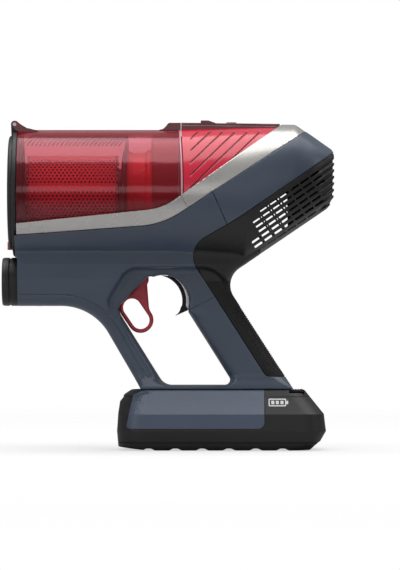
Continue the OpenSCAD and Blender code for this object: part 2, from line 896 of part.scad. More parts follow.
module battery_cells() color("#3f7fb0") cells(cell_r, cell_length);

module cell_holder() color("#e0c040") difference() {
    union() for (s = [-1, 1]) block(
        [cells_x - cell_r - 1.5, min(s * 22, s * 27), tread_top + 2.45],
        [cells_x + cell_pitch * (cell_count - 1) + cell_r + 1.5, max(s * 22, s * 27), cell_z + cell_r + 1.5]);
    cells(cell_r + 0.1, 80);
}

module battery_board() color("#1d5c36") union() {
    block([-62, -25, 31], [48, 25, 32.6]);
    for (x = [-40, -15, 10]) block([x, -10, 32.6], [x + 12, 4, 36]);
    difference() {
        block([41.2, -9, 32.6], [56, 9, 50.6]);
        for (y = [-5, 0, 5]) block([40, y - 0.7, 43.5], [49, y + 0.7, 51]);
    }
}

module charge_socket() color("#202124") difference() {
    bar_x(4.4, 76, 89, charge_z);
    bar_x(2.9, 78, 90, charge_z);
}

module battery_latch() color("#3b3d42") union() {
    block([59, -20, 49.8], [71.5, 20, battery_top - 0.2]);
    for (s = [-1, 1]) {
        block([52.4, min(s * 11, s * 20), 49.8], [59.2, max(s * 11, s * 20), battery_top - 0.2]);
    }
    translate([66, 0, 42]) cylinder(r = 6, h = 8);
}

housing_left();
housing_right();
rear_shroud();
rear_trim();
exhaust_grille();
grip_pad();
filter_lid();
lid_spine();
bin_bulkhead();
bin_gasket();
nozzle_collar();
inlet_duct();
duct_seal();
motor_can();
motor_mounts();
motor_stator();
diffuser();
motor_bearings();
motor_end_plate();
rotor_magnet();
motor_shaft();
impeller();
controller_board();
exhaust_filter();
filter_frame();
lever_pins();
trigger_spring();
ring_spring();
trigger_switch();
battery_rail();
dock_contacts();
housing_screws();
bin_tube();
bin_trim();
bin_catch();
separator_frame();
separator_screen();
cyclone_cone();
dust_baffle();
foam_filter();
filter_cage();
door_pin();
bin_door();
door_seal();
door_latch();
trigger();
trigger_pad();
ring_lever();
bin_button();
mode_button();
wand_latch();
battery_tread();
battery_case();
battery_lid();
battery_inlays();
battery_cells();
cell_holder();
battery_board();
charge_socket();
battery_latch();
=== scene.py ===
import json
import math

import bpy
import numpy as np
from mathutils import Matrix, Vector

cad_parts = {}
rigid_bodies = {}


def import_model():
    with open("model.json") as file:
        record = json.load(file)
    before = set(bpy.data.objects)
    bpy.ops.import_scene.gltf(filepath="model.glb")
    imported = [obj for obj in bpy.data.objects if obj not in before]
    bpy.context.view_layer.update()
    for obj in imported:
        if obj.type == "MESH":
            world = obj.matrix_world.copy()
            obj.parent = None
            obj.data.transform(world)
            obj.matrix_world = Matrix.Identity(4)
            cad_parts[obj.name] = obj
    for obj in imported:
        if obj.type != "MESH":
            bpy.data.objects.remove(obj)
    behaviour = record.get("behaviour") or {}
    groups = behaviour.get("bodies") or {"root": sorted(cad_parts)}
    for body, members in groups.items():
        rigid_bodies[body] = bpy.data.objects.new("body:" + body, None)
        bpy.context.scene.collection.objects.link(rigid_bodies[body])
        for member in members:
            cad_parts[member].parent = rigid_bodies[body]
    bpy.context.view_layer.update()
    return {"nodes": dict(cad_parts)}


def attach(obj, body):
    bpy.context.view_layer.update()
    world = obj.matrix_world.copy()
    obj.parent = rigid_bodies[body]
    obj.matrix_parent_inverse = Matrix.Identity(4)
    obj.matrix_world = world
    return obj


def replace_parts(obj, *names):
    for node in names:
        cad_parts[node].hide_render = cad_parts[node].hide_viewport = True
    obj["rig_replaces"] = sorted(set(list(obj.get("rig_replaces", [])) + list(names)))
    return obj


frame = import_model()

MM = 0.001
AXIS_Z = 222.5        # height of the dust bin's axis
BIN_R = 55.0
GAP = 0.22            # half of the visible gap between neighbouring casings

# Centres in the side view, as (x, z): the pivots, the arcs of the trigger and the screws.
TRIGGER_PIVOT = (-50, 157.5)
RING_PIVOT = (-66, 156)
LATCH_PIVOT = (-166, 126.4)
DOOR_PIVOT = (-179, 282)
TRIGGER_BACK = (-50.3, 128)
TRIGGER_FRONT = (-56, 128.8)
SCREWS = ((-92, 137), (-83, 100), (-72, 83), (13, 104), (28, 80))
# All fields below are in millimetres: x to the rear, y across, z up.


# ---------- distance fields: negative inside, positive outside ----------

def both(a, b, r=0.0, c=0.0):
    """Where a and b overlap, with the edge between them rounded to radius r.
    c is the cosine between their normals."""
    if np.isscalar(r) and r == 0:
        return np.maximum(a, b)
    u, v = a + r, b + r
    on_arc = (u - c * v > 0) & (v - c * u > 0)
    arc = np.sqrt(np.maximum(u * u + v * v - 2 * c * u * v, 0) / (1 - c * c)) - r
    return np.where(on_arc, arc, np.maximum(a, b))


def either(a, b, r=0.0):
    """a and b together, with the corner between them filled to radius r."""
    return -both(-a, -b, r)


def less(a, b, r=0.0):
    return both(a, -b, r)


def line(p, q, x, z):
    """Distance from the line p to q in the side view, negative to its left."""
    dx, dz = q[0] - p[0], q[1] - p[1]
    return (dz * (x - p[0]) - dx * (z - p[1])) / math.hypot(dx, dz)


def bend(p, q, s, r, x, z):
    """Everything left of the path p, q, s in the side view, with its corner rounded to radius r."""
    a, b = line(p, q, x, z), line(q, s, x, z)
    u, v = np.subtract(q, p), np.subtract(s, q)
    c = float(u @ v / np.hypot(*u) / np.hypot(*v))
    return both(a, b, r, c) if u[0] * v[1] > u[1] * v[0] else -both(-a, -b, r, c)


def outline(points, x, z):
    """A convex outline in the side view, given anticlockwise as (x, z) or (x, z, corner radius)."""
    n = len(points)
    total = None
    for i, point in enumerate(points):
        radius = point[2] if len(point) > 2 else 0.0
        corner = bend(points[i - 1][:2], point[:2], points[(i + 1) % n][:2], radius, x, z)
        total = corner if total is None else np.maximum(total, corner)
    return total


def plate(flat, y, half, r):
    """A side-view outline, as thick as twice half, with rounded edges."""
    return both(flat, np.abs(y) - half, r)


def box_field(x, y, z, low, high, r=0.0):
    a = both(np.maximum(low[0] - x, x - high[0]), np.maximum(low[1] - y, y - high[1]), r)
    return both(a, np.maximum(low[2] - z, z - high[2]), r)


def disc(centre, r, x, z):
    return np.hypot(x - centre[0], z - centre[1]) - r


def stadium(p, q, r, x, z):
    """Everything within r of the segment p to q in the side view."""
    dx, dz = q[0] - p[0], q[1] - p[1]
    t = np.clip(((x - p[0]) * dx + (z - p[1]) * dz) / (dx * dx + dz * dz), 0, 1)
    return np.hypot(x - p[0] - t * dx, z - p[1] - t * dz) - r


def around_x(y, z, r, height=AXIS_Z):
    return np.hypot(y, z - height) - r


def smooth(t):
    t = np.clip(t, 0, 1)
    return t * t * (3 - 2 * t)


def mix(a, b, t):
    return a + (b - a) * t


# The rear body's cross-sections: x, lowest z, highest z, half width, roundness (2 is an ellipse).
SECTIONS = np.array([
    [-120, 164, 281, 58.5, 2], [-42, 164, 281, 58.5, 2], [-10, 162.4, 281.6, 57.4, 2.08], [20, 160.2, 282.4,
            55.6, 2.22],
    [42, 175, 282.6, 54, 2.36], [64.4, 190.2, 282.5, 50.6, 2.5], [80, 200.8, 271.5, 45.5, 2.65],
    [90, 207.6, 264.4, 39.5, 2.85], [97.5, 212.6, 259.2, 33, 3],
])
TABLE_X = np.arange(-130, 110, 0.5)


def blurred(values, width):
    kernel = np.hanning(int(width / 0.5) * 2 + 3)
    kernel /= kernel.sum()
    pad = len(kernel) // 2
    return np.convolve(np.pad(values, pad, mode="edge"), kernel, mode="valid")


SECTION_TABLE = [
    blurred(np.interp(TABLE_X, SECTIONS[:, 0], SECTIONS[:, k]), width) for k, width in ((1, 3), (2, 3), (3,
            9), (4, 9))
]


def envelope(x, y, z):
    """Distance from the outside of the rear body and the cradle."""
    low, high, w, power = (np.interp(x, TABLE_X, column) for column in SECTION_TABLE)
    mid, h = (low + high) / 2, (high - low) / 2
    a = np.abs(y) / w + 1e-9
    b = np.abs(z - mid) / h + 1e-9
    ap, bp = a ** (power - 1), b ** (power - 1)
    total = ap * a + bp * b
    f = total ** (1 / power)
    slope = total ** (1 / power - 1) * np.hypot(ap / w, bp / h)
    return both((f - 1) / np.maximum(slope, 0.012), x - 97.5, mix(7.5, 3.0, smooth((z - 222) / 20)))


# ---------- side-view regions ----------

def above_trim(x, z):
    return bend((-200, 193.3), (-50.4, 208.45), (60, 287.4), 50.0, x, z)


def above_body(x, z):
    return bend((-200, 184.1), (-50.8, 194.7), (110, 299.7), 70.0, x, z)


def behind_trim_seam(x, z):
    return line((-45.5, 234), (-20, 198), x, z)


def behind_shroud_seam(x, z):
    return line((-20, 251.2), (14, 173.9), x, z)


def black_region(x, z):
    under = bend((110, 265.6), (14, 200), (-31.5, 173.5), 150.0, x, z)
    return both(both(under, line((-31.5, 173.5), (39, 63.4), x, z), 20.0), 63.4 - z, 7.0, 0.54)


def frame_region(x, z):
    front = bend((-200, 124.5), (-111.5, 124.5), (-69.6, 52.4), 47.0, x, z)
    rear = bend((62.7, 52.4), (1.6, 147.5), (110, 221.1), 17.5, x, z)
    return np.maximum(np.maximum(front, rear), 52.4 - z)


def opening_region(x, z):
    hole = outline([(-61.5, 151.8, 4.0), (-91, 122.5, 9.0), (-49.2, 55.6, 12.0), (11.5, 55.6, 4.5), (-28.5,
            119.2)], x, z)
    return either(hole, disc(TRIGGER_BACK, 23.3, x, z), 1.0)


def scoop_region(x, z):
    return outline([(-97, 116), (-78, 104), (-34, 108), (12, 134), (-6, 157.5, 20.0), (-81.5, 157.5, 17.0),
                    (-98, 130, 12.0)], x, z)


def handle(x, y, z):
    """The neck, the strut, the grip and the foot as one rounded solid."""
    a = np.abs(y)
    frame_d, hole = frame_region(x, z), opening_region(x, z)
    across = smooth((x + 19 + 0.646 * (z - 55.6) + 22) / 44)     # 0 on the strut, 1 on the grip
    low_w = mix(mix(14.6, 18.0, across), 22.5, smooth((69 - z) / 17) ** 2)
    neck_w = np.interp(z, [100, 136, 148, 160.5, 173, 178, 200], [25, 27.6, 30.6, 31.4, 29.2, 29.0, 16])
    start = mix(92, 121, across)
    rise = smooth((z - start) / mix(40, 34, across))
    collar = 1.6 * smooth(0.5 - line((-30, 120.5), (-8, 131), x, z) / 0.7) * across * (1 - rise)
    inset = bend((-200, 124.5), (-111.5, 124.5), (-69.6, 52.4), 47.0, x, z) + 9.6
    panel = 0.7 * smooth(1.3 - np.abs(inset) / 0.9) * (1 - across) * smooth((z - 61) / 3)
    w = mix(low_w, neck_w, rise) + collar - panel
    r_frame = mix(mix(7.5, 12.5, across), 12.0, rise)
    r_frame = np.minimum(r_frame, 3 + 0.9 * np.maximum(z - 52.4, 0))
    r_hole = mix(mix(7.0, 11.0, across), 2.2, smooth((z - 112) / 12))
    r_hole = np.minimum(r_hole, 2.5 + 0.8 * np.maximum(z - 54, 0))
    solid = np.maximum(both(frame_d, a - w, r_frame), both(-hole, a - w, r_hole))
    scoop = both(scoop_region(x, z), 20.3 - a, 6.0)
    solid = less(solid, scoop, 3.5)
    return np.maximum(solid, np.minimum(x - 34, z - 150))


def handle_hollow(x, y, z):
    a = np.abs(y)
    frame_d, hole = frame_region(x, z), opening_region(x, z)
    core = both(np.maximum(frame_d, -hole) + 3.0, a - 11, 2.0)
    core = both(core, outline([(-172, 127), (-80, 58), (70, 58), (14, 158), (-172, 163)], x, z))
    front = both(np.maximum(frame_d, -hole) + 7.0, a - 17.4, 2.0)
    front = both(front, np.maximum(np.maximum(128 - z, z - 162), x + 30))
    inlet = np.maximum(around_x(y, z, 18.3, 145.5), x + 94.5)
    return np.minimum(np.minimum(core, front), inlet)


def lever_slots(x, y, z):
    a = np.abs(y)
    trigger = either(stadium(TRIGGER_BACK, (-42.3, 129), 23.1, x, z), stadium(TRIGGER_PIVOT, (-38, 149),
            6.0, x, z))
    ring = either(stadium((-77.4, 123.1), (-70, 112.2), 12.2, x, z), stadium(RING_PIVOT, (-68.4, 132.1),
            6.0, x, z))
    ring = np.minimum(ring, outline([(-87, 127.2), (-61.5, 119), (-63, 149.2), (-69, 149.2), (-80.2, 136)],
                                    x, z))
    return np.minimum(np.maximum(trigger, a - 8.3), np.maximum(ring, a - 5.6))


# ---------- meshing ----------

def contour(field, low, high, cell, joined=True):
    """Dual contouring of field < 0 over the half space y < 0, which keeps sharp edges.
    joined closes the mesh with its mirror image, and otherwise the field is cut before y = 0."""
    low, high = np.array(low, float), np.array(high, float)
    nx, nz = (int(math.ceil((high[k] - low[k]) / cell)) + 1 for k in (0, 2))
    ny = int(math.ceil((cell / 2 - low[1]) / cell)) + 1
    origin = np.array([low[0], cell / 2 - cell * (ny - 1), low[2]])
    size = np.array([nx, ny, nz])
    axes = [origin[k] + cell * np.arange(size[k]) for k in range(3)]
    values = np.broadcast_to(
        field(axes[0][:, None, None], axes[1][None, :, None], axes[2][None, None, :]), (nx, ny, nz)
    ).astype(np.float32)
    inside = values < 0
    strides = np.array([(ny - 1) * (nz - 1), nz - 1, 1])
    cells, rows, corner_cells = [], [], []
    points, normals = [], []
    count = 0
    for axis in range(3):
        head = [slice(None)] * 3
        tail = [slice(None)] * 3
        head[axis], tail[axis] = slice(None, -1), slice(1, None)
        head, tail = tuple(head), tuple(tail)
        crossing = inside[head] != inside[tail]
        index = np.argwhere(crossing)
        if not len(index):
            continue
        start = origin + cell * index
        t0, t1 = np.zeros(len(index)), np.ones(len(index))
        f0, f1 = values[head][crossing].astype(float), values[tail][crossing].astype(float)
        outward = f1 > f0
        for step in range(5):
            t = (t0 * f1 - t1 * f0) / np.where(f1 == f0, 1, f1 - f0)
            t = np.clip(t, t0 + 0.02 * (t1 - t0), t1 - 0.02 * (t1 - t0)) if step else t
            p = start.copy()
            p[:, axis] += cell * t
            f = field(p[:, 0], p[:, 1], p[:, 2])
            same = (f < 0) == (f0 < 0)
            t0, f0 = np.where(same, t, t0), np.where(same, f, f0)
            t1, f1 = np.where(same, t1, t), np.where(same, f1, f)
        p = start.copy()
        p[:, axis] += cell * np.where(np.abs(f0) < np.abs(f1), t0, t1)
        n = np.empty_like(p)
        for k in range(3):
            h = np.zeros(3)
            h[k] = 0.02
            a, b = p + h, p - h
            n[:, k] = field(a[:, 0], a[:, 1], a[:, 2]) - field(b[:, 0], b[:, 1], b[:, 2])
        n /= np.maximum(np.linalg.norm(n, axis=1, keepdims=True), 1e-12)
        b, c = (axis + 1) % 3, (axis + 2) % 3
        quad = []
        for db, dc in ((1, 1), (0, 1), (0, 0), (1, 0)):
            at = index.copy()
            at[:, b] -= db
            at[:, c] -= dc
            valid = ((at >= 0) & (at < size - 1)).all(axis=1)
            cell_id = np.where(valid, at @ strides, -1)
            quad.append(cell_id)
            cells.append(cell_id[valid])
            rows.append(count + np.nonzero(valid)[0])
        quad = np.stack(quad, axis=1)
        quad = np.where(outward[:, None], quad, quad[:, ::-1])
        corner_cells.append(quad[(quad >= 0).all(axis=1)])
        points.append(p)
        normals.append(n)
        count += len(p)
    cells, rows = np.concatenate(cells), np.concatenate(rows)
    p, n = np.concatenate(points)[rows], np.concatenate(normals)[rows]
    ids, slot = np.unique(cells, return_inverse=True)
    m = len(ids)

    def total(values):
        return np.bincount(slot, weights=values, minlength=m)

    number = total(np.ones(len(slot)))
    centre = np.stack([total(p[:, k]) / number for k in range(3)], axis=1)
    along = (n * (p - centre[slot])).sum(axis=1)
    matrix = np.empty((m, 3, 3))
    for i in range(3):
        for j in range(i, 3):
            matrix[:, i, j] = matrix[:, j, i] = total(n[:, i] * n[:, j])
    matrix += 0.03 * number[:, None, None] * np.eye(3)
    target = np.stack([total(n[:, k] * along) for k in range(3)], axis=1)
    verts = centre + np.linalg.solve(matrix, target[:, :, None])[:, :, 0]
    at = np.stack([ids // strides[0], ids % strides[0] // strides[1], ids % strides[1]], axis=1)
    corner = origin + cell * at
    verts = np.clip(verts, corner, corner + cell)
    faces = np.searchsorted(ids, np.concatenate(corner_cells))
    middle = at[:, 1] == ny - 2
    if joined:
        verts[middle, 1] = 0
        other = np.where(middle, np.arange(m), m + np.cumsum(~middle) - 1)
        mirrored = verts[~middle] * [1, -1, 1]
        faces = np.concatenate([faces, other[faces][:, ::-1]])
        verts = np.concatenate([verts, mirrored])
    return verts, faces


def mesh_object(name, verts, faces, smooth_angle=32, scale=MM):
    """A new object from arrays of points and of faces that all have the same number of corners."""
    mesh = bpy.data.meshes.new(name)
    verts, faces = np.asarray(verts, float) * scale, np.asarray(faces)
    mesh.vertices.add(len(verts))
    mesh.vertices.foreach_set("co", verts.astype(np.float32).ravel())
    corners = faces.shape[1]
    mesh.loops.add(faces.size)
    mesh.loops.foreach_set("vertex_index", faces.astype(np.int32).ravel())
    mesh.polygons.add(len(faces))
    mesh.polygons.foreach_set("loop_start", np.arange(len(faces), dtype=np.int32) * corners)
    mesh.update(calc_edges=True)
    mesh.validate()
    mesh.polygons.foreach_set("use_smooth", np.ones(len(mesh.polygons), bool))
    mesh.set_sharp_from_angle(angle=math.radians(smooth_angle))
    obj = bpy.data.objects.new(name, mesh)
    bpy.context.scene.collection.objects.link(obj)
    return obj


def place(obj, body, slot, *nodes):
    """Gives a new piece its body, its finish and the CAD nodes that it stands for."""
    obj.data.materials.clear()
    obj.data.materials.append(MATERIALS[slot])
    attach(obj, body)
    if nodes:
        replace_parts(obj, *nodes)
    return obj


def moulded(name, body, slot, nodes, field, low, high, cell, smooth_angle=32):
    verts, faces = contour(field, low, high, cell)
    return place(mesh_object(name, verts, faces, smooth_angle), body, slot, *nodes)


def lathe(name, profile, height=AXIS_Z, steps=160, shift=None, smooth_angle=30):
    """A closed profile of (x, radius) points turned round an axis along X.
    shift(x, y, z) moves its points along X, with y and z measured from that axis."""
    profile = np.array(profile, float)
    n = len(profile)
    angle = 2 * math.pi * np.arange(steps) / steps
    x = np.repeat(profile[:, 0], steps)
    r = np.repeat(profile[:, 1], steps)
    a = np.tile(angle, n)
    verts = np.stack([x, r * np.cos(a), height + r * np.sin(a)], axis=1)
    if shift is not None:
        verts[:, 0] += shift(verts[:, 0], verts[:, 1], verts[:, 2] - height)
    i, k = np.meshgrid(np.arange(n), np.arange(steps), indexing="ij")
    i2, k2 = (i + 1) % n, (k + 1) % steps
    faces = np.stack([i * steps + k, i * steps + k2, i2 * steps + k2, i2 * steps + k], axis=-1).reshape(-1, 4)
    area = 0.5 * np.sum(profile[:, 0] * np.roll(profile[:, 1], -1) - np.roll(profile[:, 0], -1) * profile[:,
            1])
    if area > 0:
        faces = faces[:, ::-1]
    return mesh_object(name, verts, faces, smooth_angle)


def softened(profile, r=0.5, steps=4):
    """A closed (x, radius) profile with its corners rounded."""
    result = []
    n = len(profile)
    for i in range(n):
        a, b, c = (np.array(profile[(i + k) % n][:2], float) for k in (-1, 0, 1))
        radius = profile[i][2] if len(profile[i]) > 2 else r
        u, v = (a - b) / np.linalg.norm(a - b), (c - b) / np.linalg.norm(c - b)
        reach = min(radius, 0.45 * np.linalg.norm(a - b), 0.45 * np.linalg.norm(c - b))
        for t in np.linspace(0, 1, steps + 1):
            result.append(b + u * reach * (1 - t) ** 2 + v * reach * t ** 2)
    return result


# ---------- materials ----------

def linear(rgb):
    """A linear colour from sRGB values out of 255."""
    out = [c / 255 / 12.92 if c <= 10.3 else ((c / 255 + 0.055) / 1.055) ** 2.4 for c in rgb]
    return (*out, 1.0)


def groove_painted_shade(nodes, links, source, colour):
    """Painted shade: darkens the colour at the bottom of the lid's slanted grooves, 7.6 mm apart."""
    axes = nodes.new("ShaderNodeSeparateXYZ")
    links.new(source, axes.inputs["Vector"])

    def math_node(operation, a, b):
        node = nodes.new("ShaderNodeMath")
        node.operation = operation
        for k, value in enumerate((a, b)):
            if hasattr(value, "links"):
                links.new(value, node.inputs[k])
            else:
                node.inputs[k].default_value = value
        return node.outputs["Value"]

    def ramp(value, start, end):
        node = nodes.new("ShaderNodeMapRange")
        node.inputs["From Min"].default_value, node.inputs["From Max"].default_value = start, end
        links.new(value, node.inputs["Value"])
        return node.outputs["Result"]

    across = math_node("MULTIPLY", math_node("SUBTRACT", axes.outputs["X"], axes.outputs["Z"]),
                       math.sqrt(0.5))
    off = math_node("PINGPONG", math_node("ADD", across, 0.1936 + 0.0076 * 20), 0.0038)
    dark = math_node("MULTIPLY", ramp(off, 0.00065, 0.0003), ramp(axes.outputs["X"], -0.0273, -0.026))
    dark = math_node("MULTIPLY", dark, ramp(axes.outputs["Z"], 0.2765, 0.2750))
    shade = nodes.new("ShaderNodeMix")
    shade.data_type, shade.blend_type = "RGBA", "MULTIPLY"
    links.new(dark, shade.inputs["Factor"])
    links.new(colour, shade.inputs["A"])
    shade.inputs["B"].default_value = (0.10, 0.04, 0.06, 1)
    return shade.outputs["Result"]


def material(name, color, rough, grain=2600, bump=0.05, vary=0.10, metallic=0.0, coat=0.0, clear=0.0,
             tint=(255, 255, 255), patches=30, rough_vary=0.08, specular=0.5, edge_highlight=0.0, sheen=0.0,
             brushed=False, grooves=False):
    """A procedural finish: patchy colour, a fine moulded grain in the bump, uneven roughness, and, where
    asked, a painted highlight along sharp edges and painted shade in the lid's grooves.
    clear is the share of light that goes straight through, coloured by tint."""
    mat = bpy.data.materials.new(name)
    mat.use_nodes = True
    nodes, links = mat.node_tree.nodes, mat.node_tree.links
    nodes.clear()
    out = nodes.new("ShaderNodeOutputMaterial")
    shader = nodes.new("ShaderNodeBsdfPrincipled")
    shader.inputs["Metallic"].default_value = metallic
    shader.inputs["Coat Weight"].default_value = coat
    shader.inputs["Coat Roughness"].default_value = 0.12
    shader.inputs["Specular IOR Level"].default_value = specular
    if sheen:
        shader.inputs["Sheen Weight"].default_value = sheen
        shader.inputs["Sheen Roughness"].default_value = 0.4
    where = nodes.new("ShaderNodeTexCoord")
    source = where.outputs["Object"]
    if brushed:
        mapping = nodes.new("ShaderNodeMapping")
        mapping.inputs["Scale"].default_value = (0.06, 1.0, 1.0)
        links.new(source, mapping.inputs["Vector"])
        fine_source = mapping.outputs["Vector"]
    else:
        fine_source = source
    large = nodes.new("ShaderNodeTexNoise")
    large.inputs["Scale"].default_value = patches
    large.inputs["Detail"].default_value = 4
    fine = nodes.new("ShaderNodeTexNoise")
    fine.inputs["Scale"].default_value = grain
    fine.inputs["Detail"].default_value = 2
    links.new(source, large.inputs["Vector"])
    links.new(fine_source, fine.inputs["Vector"])
    ramp = nodes.new("ShaderNodeValToRGB")
    base = linear(color)
    ramp.color_ramp.elements[0].position, ramp.color_ramp.elements[1].position = 0.3, 0.7
    ramp.color_ramp.elements[0].color = (*[c * (1 - vary) for c in base[:3]], 1)
    ramp.color_ramp.elements[1].color = (*[min(1, c * (1 + vary) + 0.002) for c in base[:3]], 1)
    links.new(large.outputs["Fac"], ramp.inputs["Fac"])
    speck = nodes.new("ShaderNodeMix")
    speck.data_type, speck.blend_type = "RGBA", "OVERLAY"
    speck.inputs["Factor"].default_value = 0.18
    links.new(ramp.outputs["Color"], speck.inputs["A"])
    links.new(fine.outputs["Fac"], speck.inputs["B"])
    colour_out = speck.outputs["Result"]
    # Painted highlight: lightens the colour along sharp edges.
    if edge_highlight:
        geometry = nodes.new("ShaderNodeNewGeometry")
        edge_ramp = nodes.new("ShaderNodeValToRGB")
        edge_ramp.color_ramp.elements[0].position, edge_ramp.color_ramp.elements[1].position = 0.53, 0.62
        links.new(geometry.outputs["Pointiness"], edge_ramp.inputs["Fac"])
        scaled = nodes.new("ShaderNodeMath")
        scaled.operation = "MULTIPLY"
        scaled.inputs[1].default_value = edge_highlight
        links.new(edge_ramp.outputs["Color"], scaled.inputs[0])
        lit_edge = nodes.new("ShaderNodeMix")
        lit_edge.data_type = "RGBA"
        links.new(scaled.outputs["Value"], lit_edge.inputs["Factor"])
        links.new(colour_out, lit_edge.inputs["A"])
        lit_edge.inputs["B"].default_value = (*[min(1, c * 1.9 + 0.03) for c in base[:3]], 1)
        colour_out = lit_edge.outputs["Result"]
    # Painted shade at the bottom of the lid's grooves.
    if grooves:
        colour_out = groove_painted_shade(nodes, links, source, colour_out)
    links.new(colour_out, shader.inputs["Base Color"])
    rough_map = nodes.new("ShaderNodeMapRange")
    rough_map.inputs["To Min"].default_value = max(0.02, rough - rough_vary)
    rough_map.inputs["To Max"].default_value = min(1.0, rough + rough_vary)
    links.new(large.outputs["Fac"], rough_map.inputs["Value"])
    links.new(rough_map.outputs["Result"], shader.inputs["Roughness"])
    if bump:
        bump_node = nodes.new("ShaderNodeBump")
        bump_node.inputs["Strength"].default_value = bump
        bump_node.inputs["Distance"].default_value = 0.0004
        links.new(fine.outputs["Fac"], bump_node.inputs["Height"])
        links.new(bump_node.outputs["Normal"], shader.inputs["Normal"])
    if clear:
        through = nodes.new("ShaderNodeBsdfTransparent")
        through.inputs["Color"].default_value = linear(tint)
        angle = nodes.new("ShaderNodeLayerWeight")
        share = nodes.new("ShaderNodeMapRange")
        share.inputs["From Min"].default_value, share.inputs["From Max"].default_value = 0.5, 1.0
        share.inputs["To Min"].default_value, share.inputs["To Max"].default_value = clear, 0.1 * clear
        links.new(angle.outputs["Facing"], share.inputs["Value"])
        body = nodes.new("ShaderNodeMixShader")
        links.new(share.outputs["Result"], body.inputs["Fac"])
        links.new(shader.outputs["BSDF"], body.inputs[1])
        links.new(through.outputs["BSDF"], body.inputs[2])
        rise = nodes.new("ShaderNodeMath")
        rise.operation = "POWER"
        rise.inputs[1].default_value = 4.0
        links.new(angle.outputs["Facing"], rise.inputs[0])
        gloss_share = nodes.new("ShaderNodeMapRange")
        gloss_share.inputs["To Min"].default_value, gloss_share.inputs["To Max"].default_value = 0.032, 0.7
        links.new(rise.outputs["Value"], gloss_share.inputs["Value"])
        mirror = nodes.new("ShaderNodeBsdfGlossy")
        mirror.inputs["Roughness"].default_value = rough + 0.06
        mirror.inputs["Color"].default_value = (1.0, 0.72, 0.78, 1)
        blend = nodes.new("ShaderNodeMixShader")
        links.new(gloss_share.outputs["Result"], blend.inputs["Fac"])
        links.new(body.outputs["Shader"], blend.inputs[1])
        links.new(mirror.outputs["BSDF"], blend.inputs[2])
        links.new(blend.outputs["Shader"], out.inputs["Surface"])
    else:
        links.new(shader.outputs["BSDF"], out.inputs["Surface"])
    return mat


MATERIALS = {
    "slate_shell": material("slate_shell", (66, 76, 92), 0.38, bump=0.10, vary=0.05, coat=0.10, edge_highlight=0.12),
    "silver_trim": material("silver_trim", (190, 188, 184), 0.28, bump=0.05, vary=0.03, metallic=0.6,
                            brushed=True),
    "black_shell": material("black_shell", (17, 17, 18), 0.44, bump=0.14, vary=0.12, edge_highlight=0.12),
    "black_grip": material("black_grip", (18, 18, 19), 0.60, grain=1800, bump=0.30, vary=0.14, specular=0.35),
    "red_shell": material("red_shell", (196, 24, 52), 0.22, bump=0.03, vary=0.06, coat=0.5),
    "dark_red": material("dark_red", (96, 14, 28), 0.28, bump=0.05, vary=0.08, coat=0.4),
    "clear_red": material("clear_red", (150, 12, 30), 0.06, bump=0.0, vary=0.05, clear=0.86,
                          tint=(247, 205, 211), rough_vary=0.02),
    "screen_red": material("screen_red", (248, 66, 92), 0.34, bump=0.06, vary=0.06),
    "lever_red": material("lever_red", (178, 30, 50), 0.32, bump=0.08, vary=0.06, coat=0.3),
    "rubber_seal": material("rubber_seal", (24, 24, 24), 0.75, grain=1500, bump=0.25, vary=0.2, specular=0.3),
    "steel": material("steel", (196, 197, 200), 0.26, bump=0.06, metallic=1.0, brushed=True),
    "motor_metal": material("motor_metal", (150, 152, 158), 0.36, bump=0.10, metallic=0.9, brushed=True),
    "cast_alloy": material("cast_alloy", (186, 189, 194), 0.42, grain=1400, bump=0.20, metallic=0.9),
    "copper_winding": material("copper_winding", (150, 84, 42), 0.38, grain=1800, bump=0.5, metallic=0.7,
                               brushed=True),
    "magnet": material("magnet", (84, 87, 94), 0.34, bump=0.08, metallic=0.8),
    "circuit_board": material("circuit_board", (30, 92, 54), 0.44, grain=900, bump=0.15, vary=0.25,
                              patches=240),
    "filter_paper": material("filter_paper", (58, 58, 60), 0.9, grain=1600, bump=0.5, vary=0.12,
                             specular=0.2),
    "foam": material("foam", (58, 58, 60), 0.95, grain=700, bump=1.0, vary=0.3, specular=0.1, patches=400),
    "contact_brass": material("contact_brass", (202, 164, 84), 0.28, bump=0.06, metallic=1.0),
    "battery_black": material("battery_black", (20, 20, 21), 0.46, grain=2200, bump=0.20, vary=0.12,
                              edge_highlight=0.15),
    "battery_inlay": material("battery_inlay", (72, 84, 103), 0.38, bump=0.10, vary=0.05, coat=0.1),
    "cell_wrap": material("cell_wrap", (58, 118, 170), 0.35, bump=0.06, vary=0.08, coat=0.3),
    "holder_yellow": material("holder_yellow", (216, 186, 60), 0.5, bump=0.15, vary=0.08),
}
# Lit and shaded copies of the red for the separator collar, which are painted light and painted shade.
MATERIALS["collar_painted_light"] = material("collar_painted_light", (246, 38, 70), 0.26, bump=0.04, vary=0.05, coat=0.4)
# The lid's red has painted shade in its grooves.
MATERIALS["lid_red"] = material("lid_red", (205, 22, 56), 0.24, bump=0.03, vary=0.05, coat=0.4, grooves=True)
MATERIALS["cup_painted_shade"] = material("cup_painted_shade", (146, 10, 30), 0.22, bump=0.03, vary=0.05, coat=0.5)
# A near-black red that paints the shade on the separator sheet.
MATERIALS["screen_painted_shade"] = material("screen_painted_shade", (44, 4, 10), 0.6, bump=0.05)
# A near-white copy of the trim's silver that paints light on the trigger.
MATERIALS["lever_silver_painted_light"] = material("lever_silver_painted_light", (240, 240, 244), 0.34, bump=0.05, vary=0.03)
MATERIALS["badge_white"] = material("badge_white", (226, 226, 224), 0.45, bump=0.08, vary=0.03)
# A pale pink that paints the highlight on the bin's rim.
MATERIALS["rim_painted_highlight"] = material("rim_painted_highlight", (214, 150, 158), 0.16, bump=0.02, vary=0.04, coat=0.5)


# ---------- housing ----------

